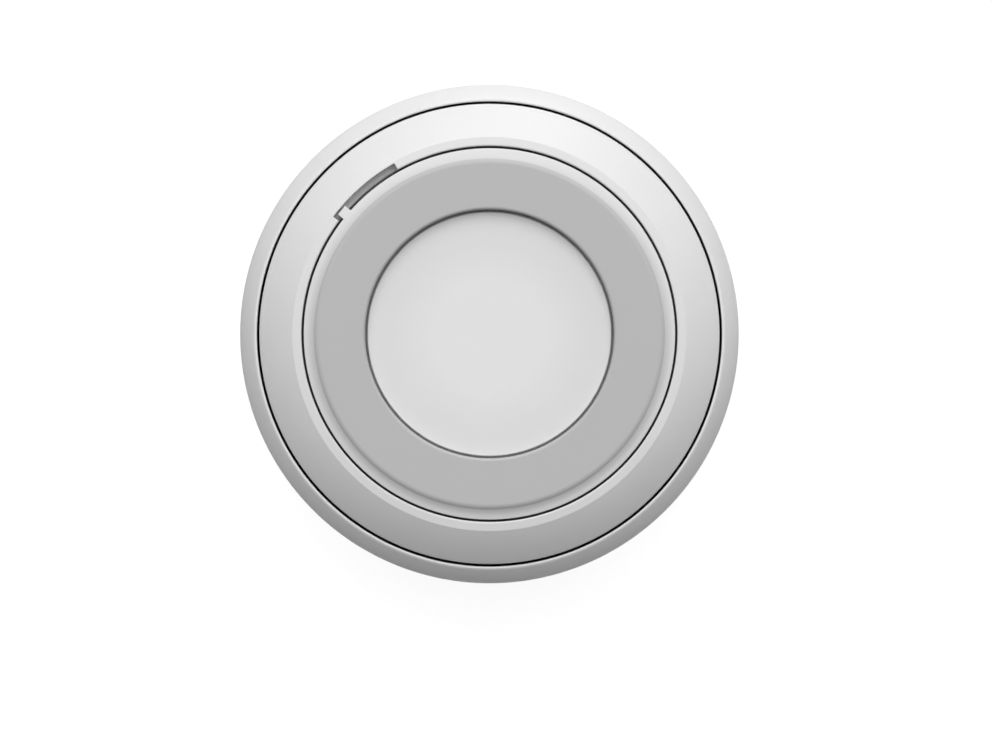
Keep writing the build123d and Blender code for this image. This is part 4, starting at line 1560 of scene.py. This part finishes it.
@dataclass
class BackCover:
    """What closes the front unit's back: cover, steel keepers, long screws and the O-ring."""

    keeper_radius: float = 2.5
    seal_circle: float = 20.86
    seal_wire: float = 1.0
    seal_steps: int = 24

    def build(self) -> None:
        """Builds and dresses the back."""
        from_cad(INNER_WHITE, Body.UNIT, 0.0, "unit_cover")
        low, high = bottom_of("keeper_discs"), top_of("keeper_discs")
        keeper = turned("keeper", disc_corners(self.keeper_radius, low, high, Edge.SOFT), HOLE_STEPS)
        keepers = repeated(keeper, SCREW_STEEL, MAGNETS)
        show("keepers", keepers, SCREW_STEEL, Body.UNIT, "keeper_discs")
        ScrewSet("case_screws", CASE_SCREWS, Body.UNIT).build()
        middle, half = (bottom_of("unit_seal") + top_of("unit_seal")) / 2, self.seal_wire / 2
        turns = [2 * math.pi * step / self.seal_steps for step in range(self.seal_steps)]
        seal = [Corner(self.seal_circle + half * math.cos(turn), middle + half * math.sin(turn))
                for turn in turns]
        show("o_ring", turned("o_ring", seal), SEAL, Body.UNIT, "unit_seal")


@dataclass
class Power:
    """The coin cell with its holder and contacts."""

    can: float = 12.25
    can_bottom: float = 3.6
    can_top: float = 8.0
    can_rounding: float = 0.35
    top_rounding: float = 0.3
    crimp: float = 0.45
    mouth_flat: float = 0.25
    mouth_edge: float = 0.05
    gasket: float = 0.35
    gasket_depth: float = 0.25
    cap: float = 10.9
    cap_edge: Point = (0.6, 0.1)

    def build(self) -> None:
        """Builds the cell, with the gasket round its mouth and the smaller cap on top, and what holds it."""
        top, mouth = top_of("coin_cell"), self.cap + self.gasket
        gasket_level = self.can_top - self.gasket_depth
        piece = show("cell", turned("cell", [
            Corner(0, self.can_bottom),
            Corner(self.can, self.can_bottom, self.can_rounding),
            Corner(self.can, self.can_top - self.crimp, self.top_rounding),
            Corner(mouth + self.mouth_flat, self.can_top, Edge.ROUND),
            Corner(mouth, self.can_top - self.mouth_edge, Edge.FINE),
            Corner(mouth - self.mouth_edge, gasket_level, Edge.THIN),
            Corner(self.cap, gasket_level, Edge.THIN),
            Corner(self.cap, top - self.cap_edge[1], Edge.EASED),
            Corner(self.cap - self.cap_edge[0], top, self.top_rounding),
            Corner(0, top),
        ]), CELL_STEEL, Body.UNIT, "coin_cell")
        near = self.mouth_edge
        paint(piece, SEAL, lambda out, up: self.cap < out < mouth and abs(up - gasket_level) < near)
        from_cad(INNER_WHITE, Body.UNIT, 0.0, "battery_holder")
        from_cad(CONTACT, Body.UNIT, Edge.THIN, "positive_contact", "negative_contact")


@dataclass
class Electronics:
    """The board with what is soldered to it."""

    chip_low: Point = (6.3, -3.8)
    chip_step: float = 1.6
    chip_size: Size = (1.0, 0.5, 0.4)
    chip_grid: tuple[int, int] = (4, 2)
    terminal_share: float = 0.24
    ceramic_width: float = 0.96
    ceramic_height: float = 0.97
    board_top: float = 10.6
    thin_chamfer: float = 0.04

    def chips(self) -> None:
        """Builds the grid of small parts: a tan body and two tinned ends each."""
        length, width, height = self.chip_size[0] / 2, self.chip_size[1] / 2, self.chip_size[2]
        middle = length * (1 - 2 * self.terminal_share)
        thin = width * self.ceramic_width
        body = box_mesh("chip", (-middle, -thin, 0), (middle, thin, height * self.ceramic_height))
        ends = joined("ends", [box_mesh("end", (low, -width, 0), (high, width, height))
                               for low, high in ((-length, -middle), (middle, length))])
        sizes = {"Across": self.chip_step, "Along": self.chip_step, "Left": self.chip_low[0],
                 "Front": self.chip_low[1], "Level": self.board_top}
        columns, rows = self.chip_grid
        for name, shape, finish in (("chip_bodies", body, CERAMIC), ("chip_ends", ends, TIN)):
            mesh = grid_recipe().mesh(name, shape, finish, sizes, Columns=columns, Rows=rows)
            show(name, mesh, finish, Body.UNIT, "chip_parts")

    def build(self) -> None:
        """Builds and dresses the board."""
        from_cad(BOARD, Body.UNIT, 0.0, "circuit_board")
        from_cad(BOARD, Body.UNIT, self.thin_chamfer, "radio_module")
        from_cad(TIN, Body.UNIT, Edge.SOFT, "radio_shield", "crystal")
        from_cad(CHIP, Body.UNIT, Edge.FINE, "microcontroller", "tamper_sensor", "switch_body")
        from_cad(LENS, Body.UNIT, Edge.FINE, "status_leds")
        from_cad(CONTACT, Body.UNIT, self.thin_chamfer, "antenna")
        self.chips()


@dataclass
class Mechanism:
    """Chassis, switch plunger, latches and springs."""

    spring_radius: float = 7.0
    spring_wire: float = 0.5
    spring_turns: float = 2.75
    press: float = 1.5
    latch_spring_radius: float = 0.3
    latch_spring_wire: float = 0.12
    latch_spring_turns: float = 5.0
    latch_spring_ends: Point = (16.6, 18.9)
    latch_spring_level: float = 15.5
    latch_travel: float = 0.8
    leg_span: float = 6.0

    def return_spring(self) -> None:
        """Winds the spring under the button."""
        low, high = bottom_of("return_spring"), top_of("return_spring")
        mesh = wound("button_spring", self.spring_radius, self.spring_wire, low, high, self.spring_turns)
        spring = show("button_spring", mesh, SPRING_STEEL, Body.UNIT, "return_spring")
        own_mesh(spring)

    def latch_springs(self) -> None:
        """Winds the two springs behind the latches."""
        near, far = self.latch_spring_ends
        mesh = wound("latch_spring", self.latch_spring_radius, self.latch_spring_wire, near, far,
                     self.latch_spring_turns)
        for side, name in ((1, "latch_spring_right"), (-1, "latch_spring_left")):
            lying = moved(0, 0, self.latch_spring_level) @ Matrix.Rotation(side * math.pi / 2, 4, "Y")
            spring = show(name, joined(name, [mesh], [lying]), SPRING_STEEL, Body.UNIT, "latch_springs")
            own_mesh(spring)

    def collar_spring(self) -> None:
        """Shows the wire spring that turns the collar back, outside any body."""
        spring = show("collar_wire", refined("collar_spring"), SPRING_STEEL, None, "collar_spring")
        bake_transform(spring)

    def build(self) -> None:
        """Builds and dresses the moving parts inside."""
        from_cad(INNER_WHITE, Body.UNIT, 0.0, "chassis")
        from_cad(SLIDER, Body.PLUNGER, Edge.PLAIN, "switch_plunger")
        from_cad(SLIDER, Body.RIGHT_LATCH, Edge.THIN, "latch_right")
        from_cad(SLIDER, Body.LEFT_LATCH, Edge.THIN, "latch_left")
        ScrewSet("chassis_screws", BOSSES, Body.UNIT).build()
        self.return_spring()
        self.latch_springs()
        self.collar_spring()


@dataclass
class Lamp:
    """A soft round lamp that faces the button, with its width and distance in metres and power in watts."""

    name: str
    azimuth: float
    tilt: float
    width: float
    power: float
    distance: float = 1.2

    def build(self) -> None:
        """Puts the lamp in its place."""
        light = bpy.data.lights.new(self.name, "AREA")
        light.shape, light.size, light.energy = "DISK", self.width, self.power
        lamp = linked(self.name, light)
        azimuth, tilt = math.radians(self.azimuth), math.radians(self.tilt)
        across = math.sin(tilt)
        away = Vector((across * math.cos(azimuth), across * math.sin(azimuth), math.cos(tilt)))
        lamp.location = away * self.distance
        lamp.rotation_mode = "QUATERNION"
        lamp.rotation_quaternion = away.to_track_quat("Z", "Y")


@dataclass
class Studio:
    """Floor, lamps, white surroundings, and the camera straight above.

    The floor's side and the camera's height and range are metres.
    """

    floor_side: float = 3.0
    floor_level: float = -0.02
    floor_shades: Point = (0.21, 0.24)
    floor_glow: float = 0.92
    floor_bounce: float = 0.5
    floor_grain: float = 0.8
    camera_height: float = 2.5
    camera_range: Point = (0.05, 20.0)
    view_width: float = 91.4
    view_centre: Point = (0.606, -3.505)
    view_level: float = 17.5
    sensor: float = 36.0
    lamps: tuple[Lamp, ...] = (
        Lamp("key", azimuth=89.0, tilt=30.0, width=1.7, power=19.9),
        Lamp("side_fill", azimuth=0.0, tilt=75.0, width=0.5, power=0.4),
        Lamp("back_fill", azimuth=78.0, tilt=84.0, width=0.5, power=2.2),
    )

    def floor(self) -> None:
        """Lays the white floor, which keeps a faint shadow and throws some light back up."""
        half, level = self.floor_side / 2, self.floor_level * MM
        mesh = bpy.data.meshes.new("floor")
        corners = [(-half, -half, level), (half, -half, level), (half, half, level), (-half, half, level)]
        mesh.from_pydata(corners, [], [(0, 1, 2, 3)])
        shader = Shader(bpy.data.materials.new("floor_paper"))
        seen = shader.direct_view()
        paper = shader.blend(shader.noise(self.floor_grain), *((shade,) * 3 for shade in self.floor_shades))
        shader.fill(shader.surface, Roughness=0.9, Specular_IOR_Level=0.0, Emission_Color=(1, 1, 1, 1),
                    Base_Color=shader.blend(seen, (self.floor_bounce,) * 3, paper),
                    Emission_Strength=shader.maths("MULTIPLY", seen, self.floor_glow))
        mesh.materials.append(shader.owner)
        linked("floor", mesh)

    def air(self) -> None:
        """Shows white where there is no floor, without lighting anything."""
        shader = Shader(bpy.data.worlds.new("studio"))
        shader.fill(shader.surface, Color=(1, 1, 1, 1), Strength=shader.direct_view())
        bpy.context.scene.world = shader.owner

    def camera(self) -> None:
        """Hangs the camera straight above, with its top towards 12 o'clock."""
        lens = bpy.data.cameras.new("camera")
        lens.sensor_width = self.sensor
        lens.lens = self.sensor * (self.camera_height / MM - self.view_level) / self.view_width
        lens.clip_start, lens.clip_end = self.camera_range
        camera = linked("camera", lens)
        camera.location = (self.view_centre[0] * MM, self.view_centre[1] * MM, self.camera_height)
        bpy.context.scene.camera = camera

    def build(self) -> None:
        """Sets up the whole studio."""
        bpy.context.scene.view_settings.view_transform = "Standard"
        self.floor()
        self.air()
        self.camera()
        for lamp in self.lamps:
            lamp.build()


def main() -> None:
    """Builds the button, part by part, and the studio round it."""
    logging.basicConfig(level=logging.INFO, format="%(message)s")
    dome = Dome()
    for assembly in (Base(dome), Bezel(dome), Collar(dome), Button(), BackCover(), Power(), Electronics(),
                     Mechanism(), Studio()):
        log.info("building %s", type(assembly).__name__.lower())
        assembly.build()


if __name__ == "__main__":
    main()
